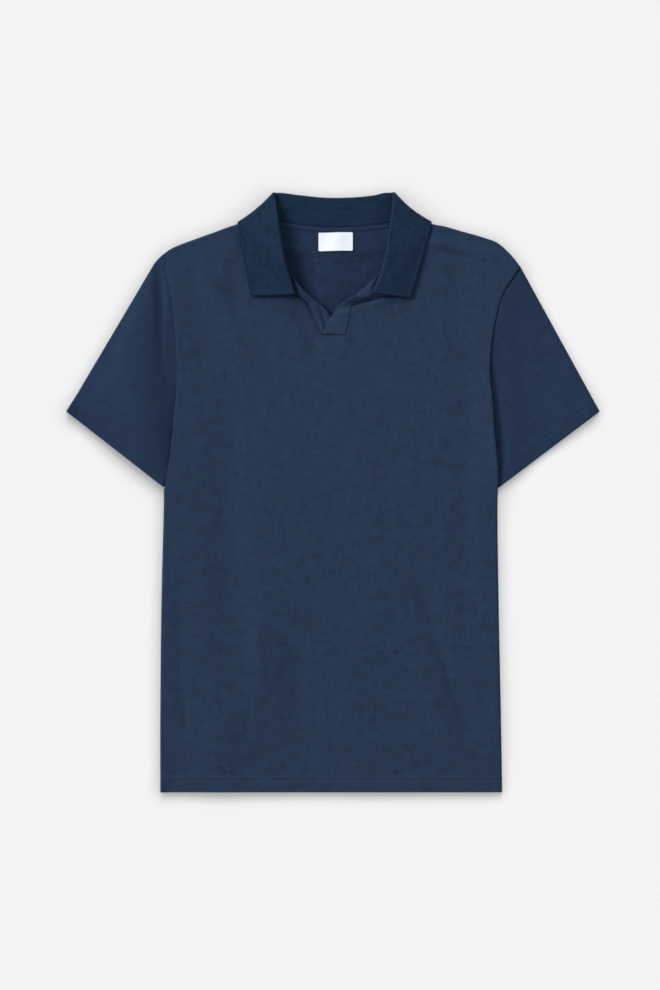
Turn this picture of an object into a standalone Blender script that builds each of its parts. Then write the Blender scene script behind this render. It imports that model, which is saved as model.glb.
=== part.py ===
"""Polo shirt with a rib collar and a short open neck slit, laid flat on its back.

Every piece of cloth is an open sheet, worked out at the middle of its wall from the tables
below, and a Solidify modifier gives it its thickness. The sizes are in millimetres and are
turned into metres when a sheet is made. +X is the wearer's left, +Y is towards the collar,
+Z is up, and the shirt rests on z = 0. "Right" and "left" are the wearer's.
"""

import math
from collections import namedtuple

import bmesh
import bpy
from mathutils import Vector

MM = 0.001

# Cloth
WALL = 1.2          # thickness of every cut piece
SEAM_GAP = 0.3      # clear space between pieces that are sewn to each other
NECK_GAP = 0.6      # and round the curved neck seam
CORNER_GAP = 0.9    # and where that seam turns round the shoulder
LAYER = WALL + SEAM_GAP
TRIM_WALL = 1.0     # neck tape and label

# How the layers lie
BACK_REST = WALL / 2        # middle of the back's wall where it rests on the table
BODY_RISE = 4.6             # middle of the front's wall over most of the body
ARMHOLE_RISE = 5.3          # and along the armholes, over the tucked sleeves
HEM_RISE = 3.6              # and at the hem
HEM_EASE = 70.0             # length over which the front comes down to the hem
ARMHOLE_BAND = 5.0          # width at full height inside the armhole's edge
ARMHOLE_EASE = 60.0         # and over which the front then comes down to the body
UNDERARM_START, UNDERARM_EASE = -40.0, 43.0     # where it starts to rise below the armhole
OVER_COLLAR = 0.45          # how much higher it lies where the collar is under the back
OVER_COLLAR_EASE = 30.0
FOLD_SPAN = 2.4             # how far the folded edge of the body reaches in
FOLD_GAP = 0.6              # between the front's and the back's edge, round the fold
SHELL_FOLD_SPAN = 3.9       # reach of the collar's fold, which goes round the body's
FOLD_ANGLES = (0, 20, 50, 90)        # steps round a fold, in degrees
EDGE_REACH = 14.0           # first column of a panel past its folded edge
HALF_COLUMNS = 6            # columns from there to the inner edge
HEM_Y = -366.3

# Collar
FALL_DEPTH = 57.0           # depth of the turned-down part at the back neck
COLLAR_REACH = 116.0        # how far the collar reaches along the shoulder, from the centre
COLLAR_BACK_ROLL = 3.0      # height of the turn at the back neck
COLLAR_TURN_ROLL = 1.8      # and at the shoulders
ON_COLLAR = 1.75            # how far the back panel climbs to lie on the collar
RAMP = 12.0                 # length over which it climbs
RAMP_LEAD = 10.0            # and how far short of the collar's edge it has done so

# Sleeves
SLEEVE_LAP = 6.5            # how far the sleeve is tucked into the armhole
SLEEVE_TUCK_RISE = 3.7      # middle of its upper wall in the armhole
SLEEVE_RISE = 4.7           # and in the middle of the sleeve
CUFF_RISE = 3.6             # and at the cuff
SLEEVE_START = 1.5          # how far out of the armhole the sleeve is clear of the panels
SLEEVE_RAMP = 10.0          # length over which it then comes down to the table
SLEEVE_EASE = 30.0          # and over which its upper wall rises to its full height
CUFF_EASE = 110.0           # length over which it comes down to the cuff
SLEEVE_FOLD_SHARE = 0.65    # reach of its folded edges, as a share of its thickness

# Body outline: distance of the edge from the centre line at each height
Edge = namedtuple("Edge", "height right left")
BODY_EDGE = [
    Edge(-366.3, 210.3, 206.0),
    Edge(-278.2, 210.3, 204.5),
    Edge(-131.8, 208.8, 201.6),
    Edge(-8.0, 205.8, 200.3),
    Edge(3.0, 205.6, 200.6),
    Edge(27.6, 201.8, 200.7),
    Edge(47.5, 198.7, 199.0),
    Edge(71.2, 196.2, 196.6),
    Edge(95.0, 193.9, 195.0),
    Edge(118.8, 191.4, 193.2),
    Edge(138.7, 190.2, 191.0),
    Edge(162.5, 190.8, 190.9),
    Edge(190.0, 192.3, 194.2),
    Edge(212.0, 193.6, 198.3),
    Edge(231.9, 195.8, 202.9),
    Edge(245.8, 198.6, 208.7),
    Edge(257.7, 201.0, 216.6),
    Edge(275.3, 204.9, 228.0),
    Edge(289.0, 208.0, 236.0),
]

# Heights of the cross rows, at the right edge, the left edge and the centre of the back
CrossRow = namedtuple("CrossRow", "right left back_centre")
LOWER_ROWS = [
    CrossRow(HEM_Y, HEM_Y, HEM_Y),
    CrossRow(-345.0, -345.0, -345.0),
    CrossRow(-322.0, -322.0, -322.0),
    CrossRow(-280.0, -280.0, -280.0),
    CrossRow(-215.0, -215.0, -215.0),
    CrossRow(-150.0, -150.0, -150.0),
    CrossRow(-85.0, -85.0, -85.0),
    CrossRow(-35.0, -35.0, -35.0),
    CrossRow(-8.0, -8.0, -8.0),
    CrossRow(-2.5, -2.5, -2.0),
    CrossRow(3.0, 3.0, 4.0),
    CrossRow(20.0, 20.0, 22.0),
    CrossRow(45.0, 45.0, 46.0),
    CrossRow(70.0, 70.0, 72.0),
    CrossRow(95.0, 95.0, 98.0),
    CrossRow(120.0, 120.0, 126.0),
    CrossRow(145.0, 145.0, 154.0),
    CrossRow(170.0, 170.0, 180.0),
]
SLIT_ROW = CrossRow(192.0, 190.0, 206.0)
UPPER_ROWS = [
    CrossRow(206.0, 204.0, 224.0),
    CrossRow(218.0, 216.0, 240.0),
    CrossRow(229.0, 226.0, 254.0),
    CrossRow(239.0, 235.0, 266.0),
    CrossRow(248.0, 243.0, 276.0),
    CrossRow(256.0, 250.0, 285.0),
    CrossRow(264.0, 256.5, 293.0),
    CrossRow(271.5, 262.5, 301.0),
    CrossRow(279.0, 268.5, 311.0),
]
BACK_TOP_ROW = CrossRow(284.0, 272.0, 317.5)        # one more on the back, over the collar's edge
BACK_ROWS = LOWER_ROWS + [SLIT_ROW] + UPPER_ROWS + [BACK_TOP_ROW]
SIDE_FOLD_END = -8.0        # the side seam is folded below this height
ARMHOLE_START = 3.0         # and the armhole is open above this one

# Shoulder seam, from the sleeve to the neck
Point = namedtuple("Point", "x y")
SHOULDER = {
    "right": [
        Point(-208.0, 289.0), Point(-200.5, 294.7), Point(-191.1, 299.6), Point(-165.3, 309.3),
        Point(-139.0, 318.8), Point(-126.0, 323.5), Point(-114.2, 327.6), Point(-103.8, 334.5),
        Point(-94.2, 342.3),
    ],
    "left": [
        Point(228.0, 275.3), Point(220.4, 285.1), Point(211.4, 294.8), Point(199.7, 304.4),
        Point(186.6, 309.3), Point(154.0, 318.8), Point(137.9, 323.4), Point(118.4, 327.5),
        Point(107.2, 334.6), Point(96.3, 342.3),
    ],
}

# Edge of the front along its slit, from the foot of the slit up to the collar
SLIT_FOOT = {"right": Point(-14.8, 192.6), "left": Point(15.4, 191.2)}
SLIT_EDGE = {
    "right": [Point(-24.3, 212.5), Point(-31.0, 229.2), Point(-38.6, 235.6)],
    "left": [Point(19.3, 212.0), Point(24.2, 232.6), Point(38.0, 236.6)],
}

# Collar sections on the front, from the point to the shoulder: the neck seam, the rolled
# edge and the outer edge in plan, then how far the stand climbs to the roll, the height of
# the roll, and how far the outer edge stands clear of the front.
Section = namedtuple("Section", "seam_x seam_y roll_x roll_y edge_x edge_y climb roll lift")
COLLAR_FRONT = {
    "right": [
        Section(-49.5, 239.5, -45.6, 241.4, -100.6, 239.1, 1.6, 3.0, 0.7),
        Section(-54.0, 251.0, -48.9, 251.5, -102.2, 249.0, 1.8, 3.2, 0.4),
        Section(-60.5, 265.0, -53.2, 265.0, -105.0, 263.0, 2.2, 3.4, 0.2),
        Section(-69.0, 282.0, -58.2, 285.0, -109.4, 280.5, 2.4, 3.4, 0.2),
        Section(-79.5, 302.5, -63.2, 311.0, -113.2, 300.0, 2.0, 3.0, 0.1),
        Section(-88.0, 322.0, -67.2, 338.0, -115.2, 315.5, 1.2, 2.4, 0.1),
    ],
    "left": [
        Section(53.5, 239.8, 49.4, 243.8, 94.1, 236.7, 2.0, 3.4, 1.3),
        Section(58.5, 250.5, 52.2, 251.5, 97.4, 247.5, 1.9, 3.3, 1.1),
        Section(65.0, 264.5, 57.0, 264.5, 101.9, 262.5, 1.8, 3.2, 1.0),
        Section(73.5, 281.5, 62.6, 284.0, 107.2, 281.5, 1.7, 3.0, 1.0),
        Section(83.0, 302.5, 67.3, 311.0, 112.8, 302.0, 1.4, 2.8, 0.8),
        Section(91.0, 322.0, 71.3, 337.5, 117.2, 316.5, 1.0, 2.4, 0.4),
    ],
}
# The section that lies along the shoulder, where the collar turns from the front to the back
COLLAR_SHOULDER = {
    "right": Section(-94.2, 342.3, -71.2, 365.3, -116.3, 328.9, 0.2, COLLAR_TURN_ROLL, 0.0),
    "left": Section(96.3, 342.3, 73.4, 365.6, 120.3, 329.5, 0.2, COLLAR_TURN_ROLL, 0.0),
}
# How far the collar's shoulder line sags below a straight line
SHOULDER_HOLLOW = {"right": 2.0, "left": 2.9}
# Across the back neck: neck seam and top edge in plan, and where the hidden edge ends
BackSection = namedtuple("BackSection", "seam_x seam_y roll_x roll_y edge_x")
COLLAR_BACK = [
    BackSection(-79.0, 335.0, -61.0, 365.1, -90.0),
    BackSection(-61.0, 330.8, -47.6, 363.3, -66.0),
    BackSection(-41.0, 327.3, -32.0, 361.5, -44.0),
    BackSection(-20.5, 324.9, -16.0, 359.9, -22.0),
    BackSection(0.0, 323.9, 0.0, 359.2, 0.0),
    BackSection(20.5, 324.2, 16.5, 359.5, 22.0),
    BackSection(41.0, 325.7, 33.5, 360.5, 44.0),
    BackSection(61.0, 328.0, 49.5, 362.3, 66.0),
    BackSection(80.5, 333.0, 62.5, 365.2, 90.0),
]
STAND_STEPS = (1.0, 0.66, 0.33)                 # from the neck seam towards the roll
ROLL_ANGLES = (-90, -45, 0, 45, 90)             # round the roll, stand side first
FALL_STEPS = (0.12, 0.32, 0.55, 0.78, 1.0)      # from the roll to the outer edge
BACK_EDGE_Y = 359.2 - FALL_DEPTH                # the collar's hidden edge at the centre back
BACK_EDGE_CURVE = 25.0                          # how much higher it ends at the shoulders

# Facings of the slit: sewn edge and free edge in plan, and how far each stands above the front
Facing = namedtuple("Facing", "sewn_x sewn_y free_x free_y sewn_rise free_rise")
UNDER_FACING = [
    Facing(-14.3, 193.2, -2.5, 193.2, 0.0, -0.2),
    Facing(-17.6, 199.5, -2.2, 203.0, 0.0, -0.2),
    Facing(-23.9, 212.9, -3.6, 215.5, 0.0, -0.1),
    Facing(-27.4, 221.3, -8.4, 222.0, 0.0, 0.1),
    Facing(-30.2, 229.4, -14.8, 227.9, 0.0, 0.3),
    Facing(-37.6, 236.4, -26.8, 237.3, 0.0, 0.7),
    Facing(-44.2, 242.0, -36.0, 246.0, 0.0, 1.0),
    Facing(-47.4, 251.0, -43.2, 254.0, 0.2, 1.2),
    Facing(-51.2, 262.0, -49.4, 263.0, 0.4, 1.2),
]
LAPPING_FACING = [
    Facing(14.9, 191.9, -12.2, 193.2, 0.2, 1.9),
    Facing(16.6, 200.9, -9.2, 200.9, 0.2, 1.9),
    Facing(18.6, 210.9, -5.4, 209.2, 0.2, 1.9),
    Facing(20.2, 218.9, -1.7, 214.8, 0.2, 1.9),
    Facing(21.8, 226.0, 4.4, 223.4, 0.2, 1.8),
    Facing(23.6, 233.2, 13.3, 232.2, 0.2, 1.8),
    Facing(37.2, 237.4, 24.6, 238.2, 0.2, 2.0),
    Facing(48.2, 243.6, 39.0, 249.6, 0.2, 2.2),
    Facing(51.6, 253.5, 46.8, 257.0, 0.2, 2.0),
    Facing(55.6, 263.6, 53.6, 264.4, 0.3, 1.6),
]
FACING_STEPS = 5
FACING_EASE = 1.6           # the rise is over in the first 1 / 1.6 of the width

# Neck tape and label
TAPE_START, TAPE_END = 0.8, 6.2                 # from the neck seam
LABEL_MIN, LABEL_MAX = Point(-18.3, 293.0), Point(25.0, 317.3)
LABEL_STEPS = Point(6, 4)

# Sleeve outlines: the folded top edge from the shoulder to the cuff, then the cuff's low corner
SLEEVE_TOP = {
    "right": [
        Point(-208.4, 288.7), Point(-212.2, 285.1), Point(-216.8, 280.2), Point(-221.2, 275.3),
        Point(-228.1, 265.7), Point(-244.6, 236.4), Point(-279.5, 172.9), Point(-325.2, 98.5),
    ],
    "left": [
        Point(228.2, 275.0), Point(233.5, 265.7), Point(239.4, 255.9), Point(250.2, 236.4),
        Point(264.7, 209.5), Point(283.8, 172.9), Point(304.3, 136.3), Point(325.2, 98.5),
    ],
}
CUFF_CORNER = {"right": Point(-206.8, 6.3), "left": Point(201.6, 5.2)}
SLEEVE_HEEL_Y = 27.0        # height of the low end of the sleeve's root, hidden in the body
SLEEVE_HEEL_INSET = 5.5     # and how far inside the body's edge it lies
SLEEVE_RINGS = 6            # between the armhole and the cuff
TUCK_INSET = 2.2            # how far the tucked rings keep inside the shoulder's fold
# Rings that follow the armhole seam: distance out of the armhole, and whether tucked in
Ring = namedtuple("Ring", "offset tucked")
ARMHOLE_RINGS = [
    Ring(-SLEEVE_LAP, True), Ring(0.4, True), Ring(2.4, False), Ring(6.5, False), Ring(12.5, False),
]
RING_STEPS = 10
RING_CROWDING = 60.0        # rings crowd together where the sleeve is shorter than this

# Where the front stands higher or lower than the rest of the body: centre, reach and height
Swell = namedtuple("Swell", "x y reach_x reach_y height")
FRONT_SWELLS = [
    Swell(200.0, 72.0, 30.0, 55.0, 1.7),        # the left armhole overhangs the sleeve
    Swell(-198.0, 60.0, 30.0, 50.0, 0.6),
    Swell(0.0, 120.0, 150.0, 150.0, 0.5),
    Swell(-95.0, -150.0, 60.0, 150.0, 0.5),
    Swell(110.0, -230.0, 70.0, 110.0, -0.4),
    Swell(-206.0, -366.0, 30.0, 30.0, -0.5),
    Swell(203.0, -366.0, 30.0, 30.0, -0.5),
]
NECK_CENTRE, NECK_REACH = Point(0.0, 295.0), Point(95.0, 58.0)
NECK_RISE = 2.0             # how far the front climbs to the neck seam
NECK_FALLOFF = 1.2          # and how quickly it comes down outside the neck's oval

NAVY = (0.021, 0.040, 0.078, 1.0)
RIB_NAVY = (0.014, 0.030, 0.056, 1.0)
TAPE_NAVY = (0.020, 0.037, 0.066, 1.0)
LABEL_WHITE = (0.86, 0.87, 0.87, 1.0)


# --- measures -------------------------------------------------------------------------------

def smooth(t):
    """0 below 0, 1 above 1, and an even curve between."""
    t = max(0.0, min(1.0, t))
    return t * t * (3 - 2 * t)


def mix(a, b, t):
    return a + (b - a) * t


def side_sign(side):
    return -1.0 if side == "right" else 1.0


def flat(point):
    return Vector((point.x, point.y))


def unit(vector):
    return vector.normalized()


def edge_x(side, height):
    """Distance of the body's edge from the centre line, with the side's sign."""
    for low, high in zip(BODY_EDGE, BODY_EDGE[1:]):
        if height <= high.height or high is BODY_EDGE[-1]:
            t = (height - low.height) / (high.height - low.height)
            return side_sign(side) * mix(getattr(low, side), getattr(high, side), t)


def along(points, t):
    """Point at the share t of the length of a run of plan points."""
    lengths = [(b - a).length for a, b in zip(points, points[1:])]
    left = t * sum(lengths)
    for start, end, length in zip(points, points[1:], lengths):
        if left <= length or end is points[-1]:
            return start.lerp(end, left / length)
        left -= length


def collar_edge_y(x):
    """Height of the collar's hidden outer edge, under the back panel."""
    return BACK_EDGE_Y + BACK_EDGE_CURVE * (x / COLLAR_REACH) ** 2


def back_height(x, y):
    """Middle of the back's wall: on the table, and one layer up where it lies on the collar."""
    climb = smooth((y - collar_edge_y(x) + RAMP + RAMP_LEAD) / RAMP)
    return BACK_REST + ON_COLLAR * climb


def front_height(x, y):
    """Middle of the front's wall."""
    rise = mix(HEM_RISE, BODY_RISE, smooth((y - HEM_Y) / HEM_EASE))
    side = "right" if x < 0 else "left"
    inside = abs(edge_x(side, y)) - abs(x)
    by_armhole = smooth((y - UNDERARM_START) / UNDERARM_EASE)
    by_armhole *= 1 - smooth((inside - ARMHOLE_BAND) / ARMHOLE_EASE)
    rise = mix(rise, ARMHOLE_RISE, by_armhole)
    for swell in FRONT_SWELLS:
        away = ((x - swell.x) / swell.reach_x) ** 2 + ((y - swell.y) / swell.reach_y) ** 2
        rise += swell.height * math.exp(-away)
    neck = ((x - NECK_CENTRE.x) / NECK_REACH.x) ** 2 + ((y - NECK_CENTRE.y) / NECK_REACH.y) ** 2
    rise += NECK_RISE * math.exp(-NECK_FALLOFF * max(0.0, neck - 1.0))
    return rise + OVER_COLLAR * smooth((y - collar_edge_y(x)) / OVER_COLLAR_EASE + 1)


def seam_height(x, y):
    """Height of the folded edge, midway between the two panels."""
    return (back_height(x, y) + front_height(x, y)) / 2


# --- making a sheet ------------------------------------------------------------------------

def material(name, colour, roughness):
    made = bpy.data.materials.new(name)
    made.use_nodes = True
    shader = made.node_tree.nodes["Principled BSDF"]
    shader.inputs["Base Color"].default_value = colour
    shader.inputs["Roughness"].default_value = roughness
    shader.inputs["Metallic"].default_value = 0.0
    return made


def sheet(name, rows, finish, left_out=(), wall=WALL, closed=False):
    """A grid with its vertices moved to the rows of points, made solid at the wall's thickness.

    left_out holds the (row, column) of grid squares that are cut away. A closed sheet's last
    column is joined to its first, which makes a tube.
    """
    across, up = len(rows[0]) - 1, len(rows) - 1
    mesh = bpy.data.meshes.new(name)
    grid = bmesh.new()
    bmesh.ops.create_grid(grid, x_segments=across, y_segments=up, size=1.0)
    cut = []
    for face in grid.faces:
        middle = face.calc_center_median()
        column = int((middle.x + 1) / 2 * across)
        row = int((middle.y + 1) / 2 * up)
        if (row, column) in left_out:
            cut.append(face)
    places = {}
    for vertex in grid.verts:
        column = round((vertex.co.x + 1) / 2 * across)
        row = round((vertex.co.y + 1) / 2 * up)
        places[vertex] = rows[row][column] * MM
    bmesh.ops.delete(grid, geom=cut, context="FACES")
    for vertex in grid.verts:
        vertex.co = places[vertex]
    if closed:
        bmesh.ops.remove_doubles(grid, verts=grid.verts, dist=0.00001)
    grid.to_mesh(mesh)
    grid.free()
    mesh.shade_smooth()
    made = bpy.data.objects.new(name, mesh)
    shirt.objects.link(made)
    mesh.materials.append(finish)
    solid = made.modifiers.new("wall", "SOLIDIFY")
    solid.thickness = wall * MM
    solid.offset = 0.0
    solid.use_even_offset = True
    solid.use_rim = True
    return made


# --- collar --------------------------------------------------------------------------------

def collar_levels():
    """Steps across the collar, from the neck seam over the roll to the outer edge."""
    return (
        [("stand", k) for k in STAND_STEPS]
        + [("roll", math.radians(a)) for a in ROLL_ANGLES]
        + [("fall", t) for t in FALL_STEPS]
    )


def front_profile(level, section):
    """Height of a collar step above the middle of the front's wall."""
    kind, step = level
    half = section.roll / 2
    if kind == "stand":
        return section.climb * (1 - step) ** 2
    if kind == "roll":
        return section.climb + half + half * math.sin(step)
    at_roll = section.climb + section.roll - LAYER
    return LAYER + section.lift + (at_roll - section.lift) * (1 - step) ** 1.5


def back_profile(level, roll):
    """Height of a collar step at the back neck, above the table."""
    kind, step = level
    half = roll / 2
    if kind == "stand":
        return BACK_REST + mix(roll, ON_COLLAR, step)
    if kind == "roll":
        return BACK_REST + half - half * math.sin(step)
    return BACK_REST


def plan_step(level, seam, roll, edge, radius):
    """Plan place of a collar step in a section whose roll stands upright."""
    towards = unit(unit(seam - roll) + unit(edge - roll))
    centre = roll + towards * (WALL / 2 + radius)
    kind, step = level
    if kind == "stand":
        return centre.lerp(seam, step)
    if kind == "roll":
        return centre - towards * radius * math.cos(step)
    return centre.lerp(edge, step)


def front_section(section):
    seam = Vector((section.seam_x, section.seam_y))
    roll = Vector((section.roll_x, section.roll_y))
    edge = Vector((section.edge_x, section.edge_y))
    points = []
    for level in collar_levels():
        place = plan_step(level, seam, roll, edge, section.roll / 2)
        height = front_height(*place) + front_profile(level, section)
        points.append(Vector((place.x, place.y, height)))
    return points


def back_section(section):
    seam = Vector((section.seam_x, section.seam_y))
    roll = Vector((section.roll_x, section.roll_y))
    edge = Vector((section.edge_x, collar_edge_y(section.edge_x)))
    points = []
    for level in collar_levels():
        place = plan_step(level, seam, roll, edge, COLLAR_BACK_ROLL / 2)
        height = back_profile(level, COLLAR_BACK_ROLL)
        points.append(Vector((place.x, place.y, height)))
    return points


def shoulder_plan(side):
    """Plan places of the section that lies along the shoulder, its roll lying flat."""
    section = COLLAR_SHOULDER[side]
    seam = Vector((section.seam_x, section.seam_y))
    roll = Vector((section.roll_x, section.roll_y))
    edge = Vector((section.edge_x, section.edge_y))
    towards = unit(unit(seam - roll) + unit(edge - roll))
    outward = Vector((-towards.y, towards.x))
    if outward.y < 0:
        outward = -outward
    half = section.roll / 2
    centre = roll + towards * (WALL / 2 + half)
    places = []
    for kind, step in collar_levels():
        if kind == "stand":
            place = (centre - outward * half).lerp(seam, step)
            place -= outward * SHOULDER_HOLLOW[side] * 0.5 * math.sin(math.pi * step)
        elif kind == "roll":
            place = centre + half * (outward * math.sin(step) - towards * math.cos(step))
        else:
            place = (centre + outward * half).lerp(edge, step)
            place -= outward * SHOULDER_HOLLOW[side] * math.sin(math.pi * step)
        places.append(place)
    return places


def fold_span(level):
    """Reach of the shoulder's fold: wider on the fall, which goes round the stand."""
    kind, step = level
    if kind == "stand":
        return FOLD_SPAN
    if kind == "fall":
        return SHELL_FOLD_SPAN
    return mix(FOLD_SPAN, SHELL_FOLD_SPAN, (math.sin(step) + 1) / 2)


def shoulder_turn(side, front, back):
    """Sections that turn round the shoulder, from the front's last to the back's first."""
    section = COLLAR_SHOULDER[side]
    turn = []
    steps = [(angle, "front") for angle in reversed(FOLD_ANGLES)]
    steps += [(angle, "back") for angle in FOLD_ANGLES[1:]]
    for angle, face in steps:
        ring = []
        for level, place, ahead, behind in zip(collar_levels(), shoulder_plan(side), front, back):
            towards = unit((ahead if face == "front" else behind).to_2d() - place)
            reach = fold_span(level) * (1 - math.cos(math.radians(angle)))
            spot = place + towards * reach
            top = front_height(*place) + front_profile(level, section)
            low = back_profile(level, COLLAR_TURN_ROLL)
            middle = (top + low) / 2
            end = top if face == "front" else low
            height = mix(middle, end, math.sin(math.radians(angle)))
            ring.append(Vector((spot.x, spot.y, height)))
        turn.append(ring)
    return turn


def collar_sections():
    """All sections of the collar, by name, for the collar itself and the panels sewn to it."""
    front = {side: [front_section(s) for s in COLLAR_FRONT[side]] for side in COLLAR_FRONT}
    back = [back_section(s) for s in COLLAR_BACK]
    turn = {
        "right": shoulder_turn("right", front["right"][-1], back[0]),
        "left": shoulder_turn("left", front["left"][-1], back[-1]),
    }
    return front, turn, back


def seam_allowance(section, gap=NECK_GAP):
    """Where a panel's edge meets a collar section: one gap beyond the collar's own edge."""
    return section[0] + unit(section[0] - section[1]) * gap


def make_collar(front, turn, back):
    rows = front["right"] + turn["right"] + back
    rows += list(reversed(turn["left"])) + list(reversed(front["left"]))
    return sheet("collar", rows, material("rib", RIB_NAVY, 0.9))


# --- body panels ----------------------------------------------------------------------------

def fold_reaches(span):
    """How far in each step round a fold lies."""
    return [span * (1 - math.cos(math.radians(angle))) for angle in FOLD_ANGLES]


def half_row(outer, inner):
    """Plan points from a body edge inwards: close together round the fold, then even."""
    towards = unit(inner - outer)
    length = (inner - outer).length
    reaches = fold_reaches(FOLD_SPAN)
    reaches += [mix(EDGE_REACH, length, k / HALF_COLUMNS) for k in range(HALF_COLUMNS)]
    return [outer + towards * reach for reach in reaches] + [inner]


def side_fold(height):
    """1 where the side is sewn and folded, 0 along the open armhole."""
    return 1 - smooth((height - SIDE_FOLD_END) / (ARMHOLE_START - SIDE_FOLD_END))


def settle(place, reach, fold, panel):
    """Place a plan point on a panel, drawn towards the seam round the folded edge."""
    x, y = place
    resting = front_height(x, y) if panel == "front" else back_height(x, y)
    seam = seam_height(x, y) + (FOLD_GAP / 2 if panel == "front" else -FOLD_GAP / 2)
    round_fold = math.sqrt(1 - max(0.0, 1 - reach / FOLD_SPAN) ** 2)
    return Vector((x, y, mix(resting, mix(seam, resting, round_fold), fold)))


def settled_half_row(outer, inner, panel):
    fold = side_fold(outer.y)
    places = half_row(outer, inner)
    return [settle(place, (place - outer).length, fold, panel) for place in places]


def edge_point(side, height):
    return Vector((edge_x(side, height), height))


def shoulder_rows(side, last_row, seam_points, panel):
    """Rows that turn round the shoulder's folded edge, the last one on the seam itself."""
    line = [flat(point) for point in SHOULDER[side]]
    fractions = [k / (len(last_row) - 1) for k in range(len(last_row))]
    rows = []
    steps = list(zip(FOLD_ANGLES, fold_reaches(FOLD_SPAN)))
    for (angle, reach), seam_point in zip(reversed(steps), seam_points):
        row = []
        for fraction, below in zip(fractions, last_row):
            on_seam = along(line, fraction)
            place = on_seam + unit(below.to_2d() - on_seam) * reach
            row.append(settle(place, reach, 1.0, panel))
        nudge = FOLD_GAP / 2 * (1 - math.sin(math.radians(angle)))
        row[-1] = seam_point + Vector((0, 0, nudge if panel == "front" else -nudge))
        rows.append(row)
    return rows


def front_half(side, front, turn):
    """Rows of one half of the front, from its edge to the slit, the facing or the collar."""
    foot = SLIT_FOOT[side]
    rows = []
    for row in LOWER_ROWS:
        height = getattr(row, side)
        rows.append(settled_half_row(edge_point(side, height), Vector((foot.x, height)), "front"))
    rows.append(settled_half_row(edge_point(side, getattr(SLIT_ROW, side)), flat(foot), "front"))
    inner = [flat(point) for point in SLIT_EDGE[side]]
    collar = [seam_allowance(section) for section in front[side]]
    inner += [point.to_2d() for point in collar]
    for row, end in zip(UPPER_ROWS, inner):
        rows.append(settled_half_row(edge_point(side, getattr(row, side)), end, "front"))
    for row, point in zip(rows[-len(collar):], collar):
        row[-1] = point
    corner = turn[side][:len(FOLD_ANGLES)]
    seam_points = [seam_allowance(section, CORNER_GAP) for section in corner]
    return rows + shoulder_rows(side, rows[-1], seam_points, "front")


def make_front(front, turn):
    right = front_half("right", front, turn)
    left = front_half("left", front, turn)
    rows = [one + list(reversed(other)) for one, other in zip(right, left)]
    slit_row = len(LOWER_ROWS)
    slit_column = len(right[0]) - 1
    slit = {(row, slit_column) for row in range(slit_row, len(rows) - 1)}
    return sheet("front", rows, material("front_jersey", NAVY, 0.85), left_out=slit)


def up_the_back(row):
    """Share of the way from the hem to the neck seam, at the centre back."""
    centre = COLLAR_BACK[len(COLLAR_BACK) // 2]
    return (row.back_centre - HEM_Y) / (centre.seam_y - HEM_Y)


def back_half(side, turn, corner_end):
    """Rows of one side of the back, from its edge to the column below the neck's corner."""
    rows = []
    corner = corner_end.to_2d()
    for row in BACK_ROWS:
        outer = edge_point(side, getattr(row, side))
        inner = Vector((corner.x, mix(HEM_Y, corner.y, up_the_back(row))))
        rows.append(settled_half_row(outer, inner, "back"))
    turned = reversed(turn[side][-len(FOLD_ANGLES):])
    seam_points = [seam_allowance(section, CORNER_GAP) for section in turned]
    return rows + shoulder_rows(side, rows[-1], seam_points, "back")


def make_back(turn, back):
    neck = [turn["right"][-1]] + back + [turn["left"][-1]]
    neck = [seam_allowance(section) for section in neck]
    right = back_half("right", turn, neck[0])
    left = back_half("left", turn, neck[-1])
    rows = []
    for index, row in enumerate(BACK_ROWS):
        middle = []
        for point in neck[1:-1]:
            y = mix(HEM_Y, point.y, up_the_back(row))
            middle.append(Vector((point.x, y, back_height(point.x, y))))
        rows.append(right[index] + middle + list(reversed(left[index])))
    neck_row = len(rows)
    rows.append(right[neck_row] + neck[1:-1] + list(reversed(left[neck_row])))
    for index in range(neck_row + 1, len(right)):
        rows.append(right[index] + neck[1:-1] + list(reversed(left[index])))
    first = len(right[0]) - 1
    above_neck = {
        (row, column)
        for row in range(neck_row, len(rows) - 1)
        for column in range(first, first + len(neck) - 1)
    }
    return sheet("back", rows, material("back_jersey", NAVY, 0.85), left_out=above_neck)


# --- slit facings, neck tape and label --------------------------------------------------------

def make_facing(name, table, finish):
    rows = []
    for line in table:
        sewn = Vector((line.sewn_x, line.sewn_y))
        free = Vector((line.free_x, line.free_y))
        row = []
        for k in range(FACING_STEPS + 1):
            t = k / FACING_STEPS
            place = sewn.lerp(free, t)
            rise = mix(line.sewn_rise, line.free_rise, smooth(t * FACING_EASE))
            row.append(Vector((place.x, place.y, front_height(*place) + rise)))
        rows.append(row)
    return sheet(name, rows, finish)


def on_back(x, y):
    """A point of the trim that lies on the inside of the back."""
    return Vector((x, y, back_height(x, y) + WALL / 2 + SEAM_GAP + TRIM_WALL / 2))


def make_neck_tape(back):
    seam = [section[0].to_2d() for section in back]
    rows = []
    for reach in (TAPE_START, mix(TAPE_START, TAPE_END, 0.5), TAPE_END):
        row = []
        for index, point in enumerate(seam):
            before, after = seam[max(index - 1, 0)], seam[min(index + 1, len(seam) - 1)]
            run = unit(after - before)
            place = point + Vector((run.y, -run.x)) * reach
            row.append(on_back(*place))
        rows.append(row)
    return sheet("neck_tape", rows, material("tape", TAPE_NAVY, 0.85), wall=TRIM_WALL)


def make_label():
    rows = []
    for j in range(LABEL_STEPS.y + 1):
        y = mix(LABEL_MIN.y, LABEL_MAX.y, j / LABEL_STEPS.y)
        xs = [mix(LABEL_MIN.x, LABEL_MAX.x, i / LABEL_STEPS.x) for i in range(LABEL_STEPS.x + 1)]
        rows.append([on_back(x, y) for x in xs])
    return sheet("label", rows, material("label_weave", LABEL_WHITE, 0.6), wall=TRIM_WALL)


# --- sleeves ----------------------------------------------------------------------------------

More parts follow.
